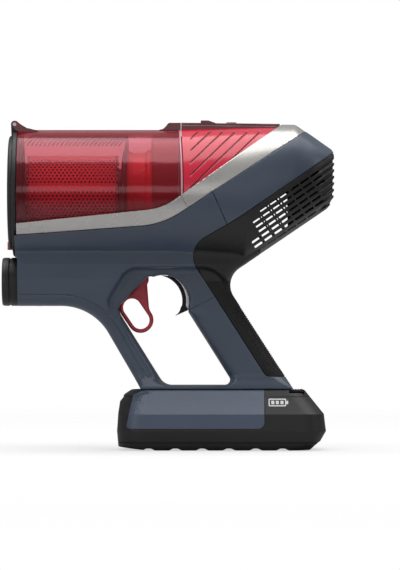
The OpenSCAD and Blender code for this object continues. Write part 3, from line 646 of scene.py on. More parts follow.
def housing_field(x, y, z, screws=False):
    body = envelope(x, y, z)
    flat = above_body(x, z)
    shell = both(body, GAP + 0.1 - flat, 0.7)
    shell = either(shell, handle(x, y, z), 1.2)
    shell = np.maximum(shell, -178 - x)
    hollow = np.maximum(body + 2.6, -31 - x)
    bore = np.maximum(around_x(y, z, 55.8), x + 31.2)
    shell = np.maximum(shell, -np.minimum(hollow, bore))
    shell = less(shell, black_region(x, z) - GAP, 0.5)
    shell = less(shell, behind_shroud_seam(x, z) - GAP, 0.5)
    shell = np.maximum(shell, -handle_hollow(x, y, z))
    shell = np.maximum(shell, -lever_slots(x, y, z))
    shell = np.maximum(shell, -np.maximum(np.maximum(x + 176, z - 166.5), -300 - x))
    shell = np.maximum(shell, -box_field(x, y, z, (-180, -7.2, 118), (-156, 7.2, 129.6)))
    shell = np.maximum(shell, -np.maximum(disc(LATCH_PIVOT, 1.9, x, z), np.abs(y) - 10.9))
    shell = np.maximum(shell, -np.maximum(np.hypot(x + 112, y) - 14.4, 150 - z))
    if screws:
        for p in SCREWS:
            shell = less(shell, np.maximum(disc(p, 3.3, x, z), 8 - np.abs(y)), 0.3)
    return both(shell, y + 0.12, 0.35)


for side, screws in (("left", False), ("right", True)):
    verts, faces = contour(lambda x, y, z: housing_field(x, y, z, screws), (-180, -60.5, 50.5), (72, 0,
            229), 1.1, joined=False)
    if screws:
        verts, faces = verts * [1, -1, 1], faces[:, ::-1]
    place(mesh_object("housing_shell_" + side, verts, faces), "main_body", "slate_shell", "housing_" + side)


def shroud_field(x, y, z):
    body = envelope(x, y, z)
    edge = both(behind_shroud_seam(x, z) + GAP, GAP - above_body(x, z), 0.5)
    edge = less(edge, black_region(x, z) - GAP, 0.5)
    return both(both(edge, body, 0.6), -(body + 2.6))


moulded("rear_shroud_shell", "main_body", "slate_shell", ["rear_shroud"], shroud_field,
        (-22, -60, 190), (100, 0, 284), 1.0)


def trim_bump(x, z):
    """How far the trim stands out: a long facet above a crease, and a steeper one below it."""
    top, bottom = -above_trim(x, z), -above_body(x, z)
    share = top / np.maximum(top - bottom, 1e-3)
    crease = np.interp(x, [-170, -40, 60], [0.27, 0.33, 0.46])
    up, down = share / crease, (1 - share) / (1 - crease)
    return 1.3 * (0.5 * (up + down) - 0.5 * np.sqrt((up - down) ** 2 + 0.03))


def trim_field(x, y, z, rear):
    body = envelope(x, y, z) - np.clip(trim_bump(x, z), -0.5, 1.3)
    band = both(above_body(x, z) + 0.12, 0.12 - above_trim(x, z))
    seam = behind_trim_seam(x, z)
    edge = both(band, seam + 0.12 if rear else 0.12 - seam)
    inner = -(envelope(x, y, z) + 2.2) if rear else -around_x(y, z, 55.05)
    return both(both(edge, body, 0.35), inner)


moulded("trim_hoop", "main_body", "silver_trim", ["rear_trim"],
        lambda x, y, z: np.maximum(trim_field(x, y, z, True), -34.5 - x), (-36, -60.5, 203), (84, 0,
                287), 0.75, 60)
moulded("trim_rails", "dust_bin", "silver_trim", ["bin_trim"],
        lambda x, y, z: np.maximum(trim_field(x, y, z, False), -176 - x), (-178, -61.2, 183), (-22, 0,
                226), 0.75, 60)


# ---------- exhaust grille and grip pad ----------

SLOPE = math.atan2(65.6, 96)


ROW_TOP, ROW_PITCH, SLOT_PITCH = 151.4, 4.6, 10.45


def slot_axes(x, z):
    """Distances along and across the rows of slots, which are parallel to the top edge of the black part."""
    return x * math.cos(SLOPE) + z * math.sin(SLOPE), -x * math.sin(SLOPE) + z * math.cos(SLOPE)


def slot_row(v):
    return np.clip(np.round((ROW_TOP - v) / ROW_PITCH), 0, 6)


def slot_field(x, y, z):
    """The rows of slots through both sides and round the rear."""
    u, v = slot_axes(x, z)
    dv = np.abs(v - ROW_TOP + ROW_PITCH * slot_row(v))
    half_pitch = SLOT_PITCH / 2
    du = np.abs((u - 127.2 + half_pitch) % SLOT_PITCH - half_pitch)
    side = both(du - 4.45, dv - 0.9, 0.5)
    centre_u = 127.2 + SLOT_PITCH * np.round((u - 127.2) / SLOT_PITCH)
    centre_x = centre_u * math.cos(SLOPE) - (ROW_TOP - ROW_PITCH * slot_row(v)) * math.sin(SLOPE)
    side = np.maximum(side, np.where((centre_x > 29.5) & (centre_x < 86), -9.0, 3.0))
    side = np.maximum(side, np.maximum(np.maximum(26.5 - x, x - 91), 24.6 - np.abs(y)))
    dy = np.abs((y + half_pitch) % SLOT_PITCH - half_pitch)
    rear = both(dy - 4.45, dv - 1.0, 0.5)
    rear = np.maximum(rear, np.maximum(np.maximum(86 - x, 221 - z), np.abs(y) - 25.8))
    return np.minimum(side, rear)


def black_part(outer, x, z):
    """The black parts, with a lip that runs under the edge of the slate parts."""
    lip = 0.55 * smooth((-outer - 0.9) / 0.4)
    return both(outer, black_region(x, z) + GAP - lip, 0.6)


def grille_field(x, y, z):
    body = envelope(x, y, z)
    _, v = slot_axes(x, z)
    fins = 1.3 * smooth((x - 78) / 12) * smooth(1.5 - np.abs(v - ROW_TOP + ROW_PITCH * slot_row(v)) / 1.2)
    fins = fins * (v > ROW_TOP - 6.5 * ROW_PITCH) * (v < ROW_TOP + 0.5 * ROW_PITCH)
    outer = either(body + fins, handle(x, y, z), mix(4.0, 0.1, smooth((x - 8) / 18)))
    d = black_part(outer, x, z)
    hollow = np.maximum(body + 2.6, -31 - x)
    d = np.maximum(d, -hollow)
    d = np.maximum(d, -handle_hollow(x, y, z))
    d = np.maximum(d, 146.02 - z)
    return np.maximum(d, -slot_field(x, y, z))


moulded("exhaust_cover", "main_body", "black_shell", ["exhaust_grille"], grille_field,
        (-33, -59, 145), (99, 0, 262), 0.62)


def grip_field(x, y, z):
    rib = line((-4.9, 140), (48, 59), x, z)
    along = (x * 0.541 - z * 0.841) % 2.0 / 2.0
    body = handle(x, y, z)
    zone = smooth((-rib + 0.5) / 1.5) * smooth((126 - z) / 4) * smooth((z - 68) / 3)
    zone = zone * smooth(2.2 * np.abs(rib % 4.4 - 2.2))
    body = body + 0.45 * zone * (0.5 + 0.5 * np.cos(2 * math.pi * along))
    d = black_part(body, x, z)
    d = np.maximum(d, -handle_hollow(x, y, z))
    return np.maximum(d, z - 146)


moulded("grip_cover", "main_body", "black_grip", ["grip_pad"], grip_field, (-16, -30, 61), (58, 0, 147.5),
        0.5, 40)


# ---------- lid and the controls on its ridge ----------

def lid_field(x, y, z):
    body = envelope(x, y, z)
    front = -34.7 + 2.6 * (y / 57) ** 2 - x
    across = (x - z) * math.sqrt(0.5)
    phase = (across + 193.6 + 3.8) % 7.6 - 3.8
    zone = smooth((x + 27.5) / 2) * smooth((276.5 - z) / 2)
    groove = 0.6 * zone * smooth(1.15 - np.abs(phase) / 0.8)
    shell = both(body + 3 + groove, -(body + 5.4))
    shell = both(shell, front, 0.5)
    return np.maximum(shell, above_trim(x, z) - 3.4)


lid = moulded("filter_cover", "main_body", "red_shell", ["filter_lid"], lid_field, (-36, -56, 206), (64, 0,
        281), 0.5)
lid.data.materials[0] = MATERIALS["lid_red"]


def spine_field(x, y, z):
    a = np.abs(y)
    end = np.maximum(-34.6 - x, above_trim(x, z) + 0.3)
    drop = 0.012 * (x + 35)
    low = both(both(a - 9, z - 281.5 + drop, 0.7), np.maximum(end, x - 48))
    top = both(both(a - 6, z - 283.7 + drop, 0.7), np.maximum(end, x - 51))
    d = np.maximum(np.minimum(low, top), -(envelope(x, y, z) + 3.2))
    wells = np.minimum(box_field(x, y, z, (-18, -4.3, 279), (-4.7, 4.3, 290)),
                       box_field(x, y, z, (4.1, -4.3, 281), (13.7, 4.3, 290)))
    return np.maximum(d, -wells)


moulded("lid_ridge", "main_body", "dark_red", ["lid_spine"], spine_field, (-36, -10, 274), (52, 0, 285), 0.45)
moulded("bin_release_button", "bin_button", "dark_red", ["bin_button"],
        lambda x, y, z: plate(outline([(-17.7, 281.6), (-5, 281.6), (-5, 283.7), (-11, 285.8, 2.0), (-17.1,
                285.8, 0.6),
                                       (-17.7, 285.3)], x, z), y, 4.0, 0.6), (-18.5, -4.6, 281), (-4.2, 0,
                                               286.4), 0.3)
moulded("mode_key", "mode_button", "dark_red", ["mode_button"],
        lambda x, y, z: plate(outline([(4.4, 282.2), (13.4, 282.2), (13.4, 283.7, 0.4), (12.4, 284.1, 0.4),
                                       (5.4, 284.1, 0.4), (4.4, 283.7, 0.4)], x, z), y, 4.0, 0.5),
        (3.6, -4.6, 281.6), (14.2, 0, 284.8), 0.3)


def catch_field(x, y, z):
    top = np.interp(x, [-54, -50.5, -48, -46.4, -45.2, -35], [277.4, 278.2, 280.4, 282.6, 283.5, 283.5])
    return np.maximum(both(both(np.abs(y) - 9, z - top, 0.8), np.maximum(-54 - x, x + 35), 0.4),
                      -around_x(y, z, 55.05))


moulded("bin_tongue", "dust_bin", "dark_red", ["bin_catch"], catch_field, (-55, -9.8, 275), (-34, 0, 284.4),
        0.4)


# ---------- dust bin ----------

def rim_shift(x, y, z):
    """The rear rim bulges to the rear at mid height.
    It is flat lower down, where the bulkhead's flange is."""
    bulge = 2.4 * (y / BIN_R) ** 2 * np.clip((z + AXIS_Z - 207) / 12, 0, 1)
    return np.where(x > -60, bulge * np.clip((x + 60) / 25, 0, 1), 0)


tube = lathe("bin_wall", softened([(-176, 53), (-176, 55), (-150, 55, 0.1), (-120, 55, 0.1), (-90, 55, 0.1),
                                   (-60, 55, 0.1),
                                   (-37.0, 55, 0.1), (-37.0, 53, 0.1),
                                   (-60, 53, 0.1), (-90, 53, 0.1), (-120, 53, 0.1), (-150, 53, 0.1)], 0.4),
             shift=rim_shift, steps=192)


rim = lathe("bin_rim", softened([(-36.9, 52.8), (-36.9, 55.1, 0.3), (-36.5, 55.7, 0.5), (-35.7, 55.7, 0.5),
                                 (-35.3, 55.0, 0.3),
                                 (-35.3, 52.8)], 0.3), shift=rim_shift, steps=192)
place(rim, "dust_bin", "clear_red")
# Painted highlight: the rim gets a pale pink colour for the bright line of light along it.
rim.data.materials[0] = MATERIALS["rim_painted_highlight"]


def lug_field(x, y, z):
    flat = either(either(stadium(DOOR_PIVOT, (-172, 277), 3.2, x, z), stadium((-172, 277), (-160, 275.5),
            1.6, x, z)),
                  stadium((-176, 278), (-166, 275), 2.5, x, z), 2.0)
    d = both(flat, np.abs(np.abs(y) - 11.5) - 2.5, 0.5)
    d = np.maximum(d, -disc(DOOR_PIVOT, 1.53, x, z))
    d = np.maximum(d, -np.maximum(around_x(y, z, 55.4), x + 176.0))
    return np.maximum(d, -around_x(y, z, 54))


place(tube, "dust_bin", "clear_red", "bin_tube")
moulded("hinge_lugs", "dust_bin", "dark_red", [], lug_field, (-184, -15, 273), (-155, 0, 287), 0.4)


def perforated(name, r, thickness, x0, pitch, columns, rows, plain, hole_r):
    """A tube of sheet with staggered round holes, as real openings. plain(row) leaves a row whole."""
    step = 2 * math.pi / rows
    verts, faces = [], []
    half_x, half_a = pitch / 2, step / 2
    border = [(-1, -1), (-0.5, -1), (0, -1), (0.5, -1), (1, -1), (1, 0), (1, 1), (0.5, 1), (0, 1), (-0.5,
            1), (-1, 1), (-1, 0)]
    ring = [math.atan2(b * half_a * r, a * half_x) for a, b in border]
    for row in range(rows):
        offset = half_x * (row % 2)
        for column in range(columns):
            centre_x, centre_a = x0 + pitch * (column + 0.5) + offset, step * row
            base = len(verts)
            for a, b in border:
                verts.append((centre_x + a * half_x, centre_a + b * half_a))
            if plain(row):
                verts.append((centre_x, centre_a))
                for k in range(12):
                    faces.append((base + k, base + (k + 1) % 12, base + 12, base + 12))
                continue
            for angle in ring:
                verts.append((centre_x + hole_r * math.cos(angle), centre_a + hole_r * math.sin(angle) / r))
            for k in range(12):
                k2 = (k + 1) % 12
                faces.append((base + k, base + k2, base + 12 + k2, base + 12 + k))
    flat = np.array(verts)
    solid = np.stack([flat[:, 0], -r * np.sin(flat[:, 1]), AXIS_Z + r * np.cos(flat[:, 1])], axis=1)
    key = np.round(solid, 2)
    _, first, which = np.unique(key, axis=0, return_index=True, return_inverse=True)
    solid = solid[first]
    faces = which.ravel()[np.array(faces)]
    mesh = bpy.data.meshes.new(name)
    mesh.from_pydata((solid * MM).tolist(), [], [list(dict.fromkeys(f)) for f in faces.tolist()])
    mesh.update()
    obj = bpy.data.objects.new(name, mesh)
    bpy.context.scene.collection.objects.link(obj)
    thick = obj.modifiers.new("thickness", "SOLIDIFY")
    thick.thickness, thick.offset = thickness * MM, 1
    thick.material_offset, thick.material_offset_rim = 1, 0
    mesh.polygons.foreach_set("use_smooth", np.ones(len(mesh.polygons), bool))
    mesh.set_sharp_from_angle(angle=math.radians(40))
    return obj


def plain_row(row):
    degrees = row * 360 / 68 % 360        # from the top, towards the camera
    side = 90 - min(degrees, 360 - degrees)   # height angle above the horizontal
    return 1 <= side <= 12 or side > 62 or side < -62


screen = perforated("separator_sheet", 32.6, 0.6, -168, 3.5, 22, 68, plain_row, 1.0)
place(screen, "dust_bin", "screen_red", "separator_screen")
# Painted shade: one face of the sheet and the edges of its holes get a near-black copy of its red.
screen.data.materials.clear()
screen.data.materials.append(MATERIALS["screen_painted_shade"])
screen.data.materials.append(MATERIALS["screen_red"])

frame_piece = lathe("separator_collar", softened([
    (-82, 32.0), (-82, 36.2, 1.5), (-78, 36.8, 1.0), (-76.5, 35.0), (-66, 35.4), (-64, 37.4, 1.0), (-60.5,
            38.4, 1.5),
    (-60.4, 49.8, 1.0), (-59, 51.6, 1.2), (-37, 51.6), (-37, 49.8), (-57.6, 49.8), (-57.6, 33.4), (-60,
            32.0)], 0.4))
place(frame_piece, "dust_bin", "red_shell", "separator_frame")
# Painted light and shade: the collar gets a brighter copy of its red, and its cup end a darker copy, for how
# light falls inside the bin.
frame_piece.data.materials[0] = MATERIALS["collar_painted_light"]
frame_piece.data.materials.append(MATERIALS["cup_painted_shade"])
for polygon in frame_piece.data.polygons:
    polygon.material_index = int(polygon.center[0] > -0.0596)
flange = lathe("baffle_flange", softened([(-87.5, 33.2), (-85.6, 41, 3.0), (-85.3, 51.0, 0.6), (-83.9, 51.9,
        0.5), (-82.8, 51.2, 0.6),
                                          (-83.4, 40.0, 3.0), (-84.6, 33.2)], 0.5),
               shift=lambda x, y, z: 0.052 * z)
place(flange, "dust_bin", "screen_red", "dust_baffle")
# Painted shade: the baffle takes the dark red in place of its own red, for the shadow along it.
flange.data.materials[0] = MATERIALS["dark_red"]


def rib_mesh(name, count, spacing, x_start, slant, r, low, high, width, depth):
    """Slanted ribs that stand in from the bin's wall over an arc on both sides."""
    verts, faces = [], []
    for mirror in (1, -1):
        for i in range(count):
            base = len(verts)
            steps = 18
            for k in range(steps + 1):
                angle = math.radians(low + (high - low) * k / steps)
                x = x_start + spacing * i + slant * (k / steps)
                for dr, dx in ((0, -width / 2), (0, width / 2), (-depth, width / 2), (-depth, -width / 2)):
                    q = r + dr
                    verts.append((x + dx, -mirror * q * math.cos(angle), AXIS_Z + q * math.sin(angle)))
            for k in range(steps):
                for c in range(4):
                    a, b = base + 4 * k + c, base + 4 * k + (c + 1) % 4
                    face = (a, b, b + 4, a + 4)
                    faces.append(face if mirror > 0 else face[::-1])
            for end in (base, base + 4 * steps):
                face = (end, end + 3, end + 2, end + 1) if (end == base) == (mirror > 0) else (end, end + 1,
                        end + 2, end + 3)
                faces.append(face)
    return mesh_object(name, verts, faces)


# Painted shade: the ribs are dark red so that they read as dark lines of shade.
place(rib_mesh("swirl_ribs", 23, 3.66, -170, 11, 52.9, 54, 80, 1.1, 1.2), "dust_bin", "dark_red")


# ---------- bin door, inlet collar, latches ----------

def door_field(x, y, z):
    r = np.hypot(y, z - AXIS_Z)
    disc_part = both(r - 55, np.maximum(-180.4 - x, x + 176.3), 1.2)
    cap = both(r - 50, np.maximum(-184 - x, x + 176.3), 2.2)
    plug = both(r - 50.2, np.maximum(-180 - x, x + 172), 0.6)
    d = np.minimum(np.minimum(disc_part, cap), plug)
    d = np.maximum(d, -np.maximum(r - 46, -181.4 - x))
    ring = np.maximum(np.abs(r - 40) - 0.8, x + 183.2)
    d = less(d, ring, 0.3)
    tab = either(stadium(DOOR_PIVOT, (-178.6, 274), 3.4, x, z), stadium((-178.6, 274), (-181, 268), 2.0, x,
            z), 1.0)
    d = either(d, both(tab, np.abs(y) - 8.6, 0.5), 1.0)
    beside_plug = np.minimum(np.minimum(x + 176.4, r - 50.3), 279 - z)
    d = np.maximum(d, beside_plug)
    d = np.maximum(d, -disc(DOOR_PIVOT, 1.55, x, z))
    return np.maximum(d, -box_field(x, y, z, (-190, -7.3, 173), (-179.5, 7.3, 183.3)))


moulded("bin_door_cover", "bin_door", "black_shell", ["bin_door"], door_field, (-186, -56.5, 165), (-170, 0,
        287), 0.9)

collar = lathe("inlet_collar", softened([
    (-190, 16.6), (-190, 20.4, 1.0), (-187.5, 21.0), (-184, 21.0), (-183.6, 20.3), (-182.4, 20.3), (-182,
            21.0), (-176.2, 21.0),
    (-176.2, 17.2), (-150, 17.2), (-150, 16.0), (-188.6, 16.0)], 0.35), height=145.5, steps=128)
place(collar, "main_body", "black_shell", "nozzle_collar")


def door_latch_field(x, y, z):
    key = box_field(x, y, z, (-185.6, -7, 173.2), (-182, 7, 180), 0.8)
    for i in range(3):
        key = less(key, both(np.abs(z - 174.9 - 1.7 * i) - 0.35, x + 185.1), 0.15)
    return np.minimum(key, box_field(x, y, z, (-182.2, -5, 173.2), (-179.6, 5, 178), 0.4))


moulded("door_latch_key", "door_latch", "lever_red", ["door_latch"], door_latch_field, (-186.4, -7.8,
        172.4), (-178.8, 0, 181), 0.35)


def wand_latch_field(x, y, z):
    key = outline([(-175, 124.9), (-165, 124.6, 3.0), (-160, 122.9, 1.5), (-157, 123.6, 0.8), (-157, 126.6,
            0.8), (-175, 126.6)], x, z)
    d = plate(key, y, 6.8, 0.6)
    for i in range(4):
        d = less(d, both(np.abs(x + 164.4 - 1.7 * i) - 0.3, z - 124.6 + 0.2 * i), 0.15)
    return np.minimum(d, np.maximum(disc(LATCH_PIVOT, 1.5, x, z), np.abs(y) - 10.4))


moulded("wand_latch_key", "wand_latch", "lever_red", ["wand_latch"], wand_latch_field, (-176, -11, 122),
        (-156, 0, 129.4), 0.4)


# ---------- trigger and finger loop ----------

def trigger_flat(x, z):
    d = both(disc(TRIGGER_BACK, 22.95, x, z), -disc(TRIGGER_FRONT, 25.6, x, z), 0.3)
    d = np.maximum(d, np.maximum(-50 - x, line((-33, 124.3), (-27, 121.3), x, z)))
    arm = outline([(-54.4, 156), (-42, 146.4), (-37.2, 144.6, 1.0), (-37.5, 147.5, 1.0), (-47, 161), (-52,
            161.6, 3.0)], x, z)
    d = either(d, np.maximum(arm, -disc(TRIGGER_FRONT, 25.6, x, z)), 0.8)
    return np.maximum(d, -disc(TRIGGER_PIVOT, 1.55, x, z))


def trigger_field(x, y, z):
    back = np.maximum(np.maximum(disc(TRIGGER_BACK, 24.6, x, z), -disc(TRIGGER_BACK, 21.8, x, z)),
                      np.maximum(-46 - x, 120.6 - z))
    return np.minimum(plate(trigger_flat(x, z), y, 7.6, 1.0), plate(back, y, 6.2, 0.5))


trigger = moulded("trigger_lever", "trigger", "silver_trim", ["trigger"], trigger_field, (-56, -8.4, 114.5),
                  (-24, 0, 163), 0.42)
# Painted light: the trigger's silver is a near-white, non-metallic copy, to light it in its recess.
trigger.data.materials[0] = MATERIALS["lever_silver_painted_light"]
trigger.data.materials.append(MATERIALS["black_shell"])
for polygon in trigger.data.polygons:
    px, _, pz = polygon.center / MM
    polygon.material_index = int(math.hypot(px + 50.3, pz - 128) > 23.05 and pz < 150)


def pad_flat(x, z):
    arc = both(disc(TRIGGER_FRONT, 25.55, x, z), -disc(TRIGGER_FRONT, 22.3, x, z), 0.3)
    arc = np.maximum(arc, np.maximum(-53.4 - x, 121.4 - z))
    tip = both(outline([(-39.8, 115.9), (-28.9, 120.7), (-29.4, 124.6), (-34.4, 124.2)], x, z),
               -disc((-44.6, 124.6), 9.6, x, z))
    arc = either(arc, tip, 0.8)
    return both(arc, disc(TRIGGER_BACK, 22.95, x, z), 0.3)


moulded("trigger_face", "trigger", "black_grip", ["trigger_pad"],
        lambda x, y, z: plate(pad_flat(x, z), y, 7.75, 1.2), (-55, -8.4, 114.5), (-25, 0, 156), 0.4)


def ring_field(x, y, z):
    a, b = (-77.4, 123.1), (-70, 112.2)
    loop = stadium(a, b, 11.2, x, z)
    arm = outline([(-85.2, 127.5), (-62.5, 120.5), (-64.6, 147.5), (-68, 147.5), (-79, 135)], x, z)
    arm = either(arm, stadium((-66.2, 146.4), RING_PIVOT, 3.2, x, z), 1.0)
    flat = either(loop, arm, 1.5)
    hole = stadium(a, b, 7.8, x, z)
    d = plate(flat, y, 4.6, 1.7)
    d = less(d, hole, 1.5)
    recess = np.maximum(outline([(-77.0, 133.6), (-64.9, 128.2), (-66.2, 144.4), (-67.6, 144.4)], x, z),
                        3.9 - np.abs(y))
    d = less(d, recess, 0.3)
    return np.maximum(d, -disc(RING_PIVOT, 1.55, x, z))


moulded("finger_loop", "ring_lever", "lever_red", ["ring_lever"], ring_field, (-90, -5.4, 99.8), (-57, 0,
        161), 0.45)


# ---------- battery ----------

LEVELS = np.array([
    [0, -88.4, 77.2, 32], [3.8, -89.2, 81, 35], [7.6, -89.5, 85.7, 37], [16.4, -90.2, 90.7, 38.5], [31.3,
            -89.2, 88.8, 38.5],
    [42.5, -87.6, 79.8, 30.8], [48, -84.2, 75.4, 27.2], [52, -78.5, 72.2, 24.5],
])


def battery(x, y, z):
    x0, x1, w = (np.interp(z, LEVELS[:, 0], LEVELS[:, k]) for k in (1, 2, 3))
    centre, half = (x0 + x1) / 2, (x1 - x0) / 2
    r = np.where(x < centre, np.minimum(24, w - 2), np.minimum(18, w - 2))
    qx, qy = np.abs(x - centre) - (half - r), np.abs(y) - (w - r)
    flat = np.hypot(np.maximum(qx, 0), np.maximum(qy, 0)) + np.minimum(np.maximum(qx, qy), 0) - r
    slope = np.interp(z, [31, 32, 42, 44, 52], [1, 0.84, 0.84, 0.8, 0.75])
    return both(both(flat * slope, z - 52, 1.2), -z, 0.6)


def inlay_region(x, y, z):
    flat = outline([(-82.6, 18.7, 3.0), (37.3, 18.7, 6.0), (37.3, 60), (-74, 60)], x, z)
    return np.maximum(flat, 21 - np.abs(y))


def rail_channel(x, y, z):
    slot = np.minimum(np.maximum(np.abs(y) - 7.4, 45 - z), np.maximum(np.abs(y) - 11.4, np.abs(z - 44) - 1.9))
    return np.maximum(slot, x - 40.9)


def case_field(x, y, z):
    form = battery(x, y, z)
    d = both(form, 6.75 - z, 0.5)
    d = both(d, z - 46, 0.3)
    d = np.maximum(d, -np.maximum(form + 2.4, 9 - z))
    d = less(d, np.maximum(inlay_region(x, y, z) - 0.15, -(form + 1.25)), 0.2)
    d = np.maximum(d, -rail_channel(x, y, z))
    d = np.maximum(d, -box_field(x, y, z, (41, -13, 40), (75, 13, 60)))
    return np.maximum(d, -np.maximum(around_x(y, z, 4.45, 22.5), 70 - x))


moulded("battery_shell", "battery", "battery_black", ["battery_case"], case_field, (-92, -40, 5.6), (92.5,
        0, 47), 0.95)


def cover_field(x, y, z):
    form = battery(x, y, z)
    d = both(form, 46.25 - z, 0.3)
    d = less(d, np.maximum(inlay_region(x, y, z) - 0.15, -(form + 1.25)), 0.2)
    d = np.maximum(d, -rail_channel(x, y, z))
    d = np.maximum(d, -box_field(x, y, z, (40, -9.4, 40), (56.4, 9.4, 50.8)))
    floor = np.where(np.abs(y) < 20.6, 46.6, 49.3)
    recess = np.minimum(np.maximum(np.maximum(58.6 - x, x - 71.9), floor - z),
                        np.maximum(np.maximum(51.9 - x, x - 60), np.maximum(np.abs(np.abs(y) - 15.5) - 5,
                                46.6 - z)))
    d = less(d, recess, 0.3)
    return np.maximum(d, -np.maximum(np.hypot(x - 66, y) - 6.4, 40 - z))


moulded("battery_cover", "battery", "battery_black", ["battery_lid"], cover_field, (-87, -31, 45.5), (79, 0,
        52.6), 0.7)


def inlay_field(x, y, z):
    form = battery(x, y, z)
    return both(both(form, inlay_region(x, y, z) + 0.15, 0.3), -(form + 1.2))


moulded("battery_side_panels", "battery", "battery_inlay", ["battery_inlays"], inlay_field, (-84, -40, 17),
        (39, 0, 53), 0.8)


def tread_field(x, y, z):
    form = battery(x, y, z)
    d = both(form, z - 6.45, 0.4)
    notch = (x - 6.7 + 11.55) % 23.1 - 11.55
    d = np.maximum(d, 0.115 * (-64 - x) - z)
    cut = both(0.5 * (np.abs(notch) - 5.2 + 1.9 * np.maximum(z, 0)), z - 1.7, 0.4)
    cut = np.maximum(cut, np.maximum(-75 - x, x - 62))
    d = less(d, cut, 0.5)
    pocket = both(np.abs(np.abs((notch + 23.1) % 23.1 - 11.55)) - 6.2, np.abs(y) - 20, 1.5)
    pocket = np.maximum(pocket, np.maximum(z - 0.9, np.maximum(-70 - x, x - 58)))
    return less(d, pocket, 0.3)


moulded("battery_foot", "battery", "battery_black", ["battery_tread"], tread_field, (-91, -38, -0.8), (87,
        0, 7.2), 0.75)


def battery_latch_field(x, y, z):
    a = np.abs(y)
    bar = box_field(x, y, z, (59.1, -20, 49.8), (71.4, 20, 51.8), 0.5)
    for i in range(4):
        bar = less(bar, both(np.abs(x - 62 - 2.2 * i) - 0.5, 51.2 - z), 0.2)
    arm = box_field(x, a, z, (52.5, 11, 49.8), (59.6, 20, 51.8), 0.4)
    post = np.maximum(np.hypot(x - 66, y) - 6, np.maximum(42 - z, z - 50.5))
    return np.minimum(np.minimum(bar, arm), post)


moulded("battery_release_key", "battery_latch", "black_grip", ["battery_latch"], battery_latch_field,
        (51.5, -21, 41), (72.4, 0, 52.6), 0.5)


# A generic battery pictogram stands where the object has lettering.
def pictogram(x, z):
    cx, cz, w, h = 48.4, 41.4, 7.6, 3.3
    body = both(np.abs(x - cx) - w, np.abs(z - cz) - h, 1.0)
    inner = both(np.abs(x - cx) - w + 1.0, np.abs(z - cz) - h + 1.0, 0.5)
    shell = np.maximum(body, -inner)
    tip = both(np.abs(x - cx - w - 0.9) - 0.8, np.abs(z - cz) - 1.4, 0.4)
    d = np.minimum(shell, tip)
    for i in range(3):
        d = np.minimum(d, both(np.abs(x - cx + 4.0 - 4.0 * i) - 1.35, np.abs(z - cz) - 1.5, 0.2))
    return d


def badge_field(x, y, z):
    form = battery(x, y, z)
    return np.maximum(np.maximum(np.maximum(pictogram(x, z), form - 0.18), -(form + 0.5)), 5 - np.abs(y))


badge = mesh_object("battery_symbol", *contour(badge_field, (38, -40, 36), (60, 0, 46.5), 0.42))
badge.data.materials.append(MATERIALS["badge_white"])
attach(badge, "battery")


# ---------- exhaust filter ----------

def pleats():
    """A folded paper filter inside the rear body."""
    profile = np.array([[90.5, 211.8], [90.5, 256], [76, 268], [61, 276], [61, 191.8]])
    verts, faces = [], []
    count, half = 26, 26.0
    for i in range(2 * count + 1):
        y = -half + half * i / count
        inset = 0 if i % 2 else 2.2
        for x, z in profile:
            cx, cz = 74, 233
            k = 1 - inset / 30
            verts.append((cx + (x - cx) * k, y, cz + (z - cz) * k))
    n = len(profile)
    for i in range(2 * count):
        for k in range(n):
            a, b = i * n + k, i * n + (k + 1) % n
            faces.append((a, b, b + n, a + n))
    mesh = bpy.data.meshes.new("pleated_filter")
    faces += [tuple(range(n))[::-1], tuple(range(2 * count * n, 2 * count * n + n))]
    mesh.from_pydata([tuple(c * MM for c in v) for v in verts], [], faces)
    mesh.update()
    obj = bpy.data.objects.new("pleated_filter", mesh)
    bpy.context.scene.collection.objects.link(obj)
    return obj


place(pleats(), "main_body", "filter_paper", "exhaust_filter")


# ---------- the CAD nodes that stay ----------

replaced = {n for o in bpy.data.objects for n in o.get("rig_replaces", [])}
for name, node in frame["nodes"].items():
    if name in replaced:
        continue
    for place_slot in node.material_slots:
        place_slot.material = MATERIALS[place_slot.material.name.split(".")[0]]


# ---------- stage, lights and camera ----------

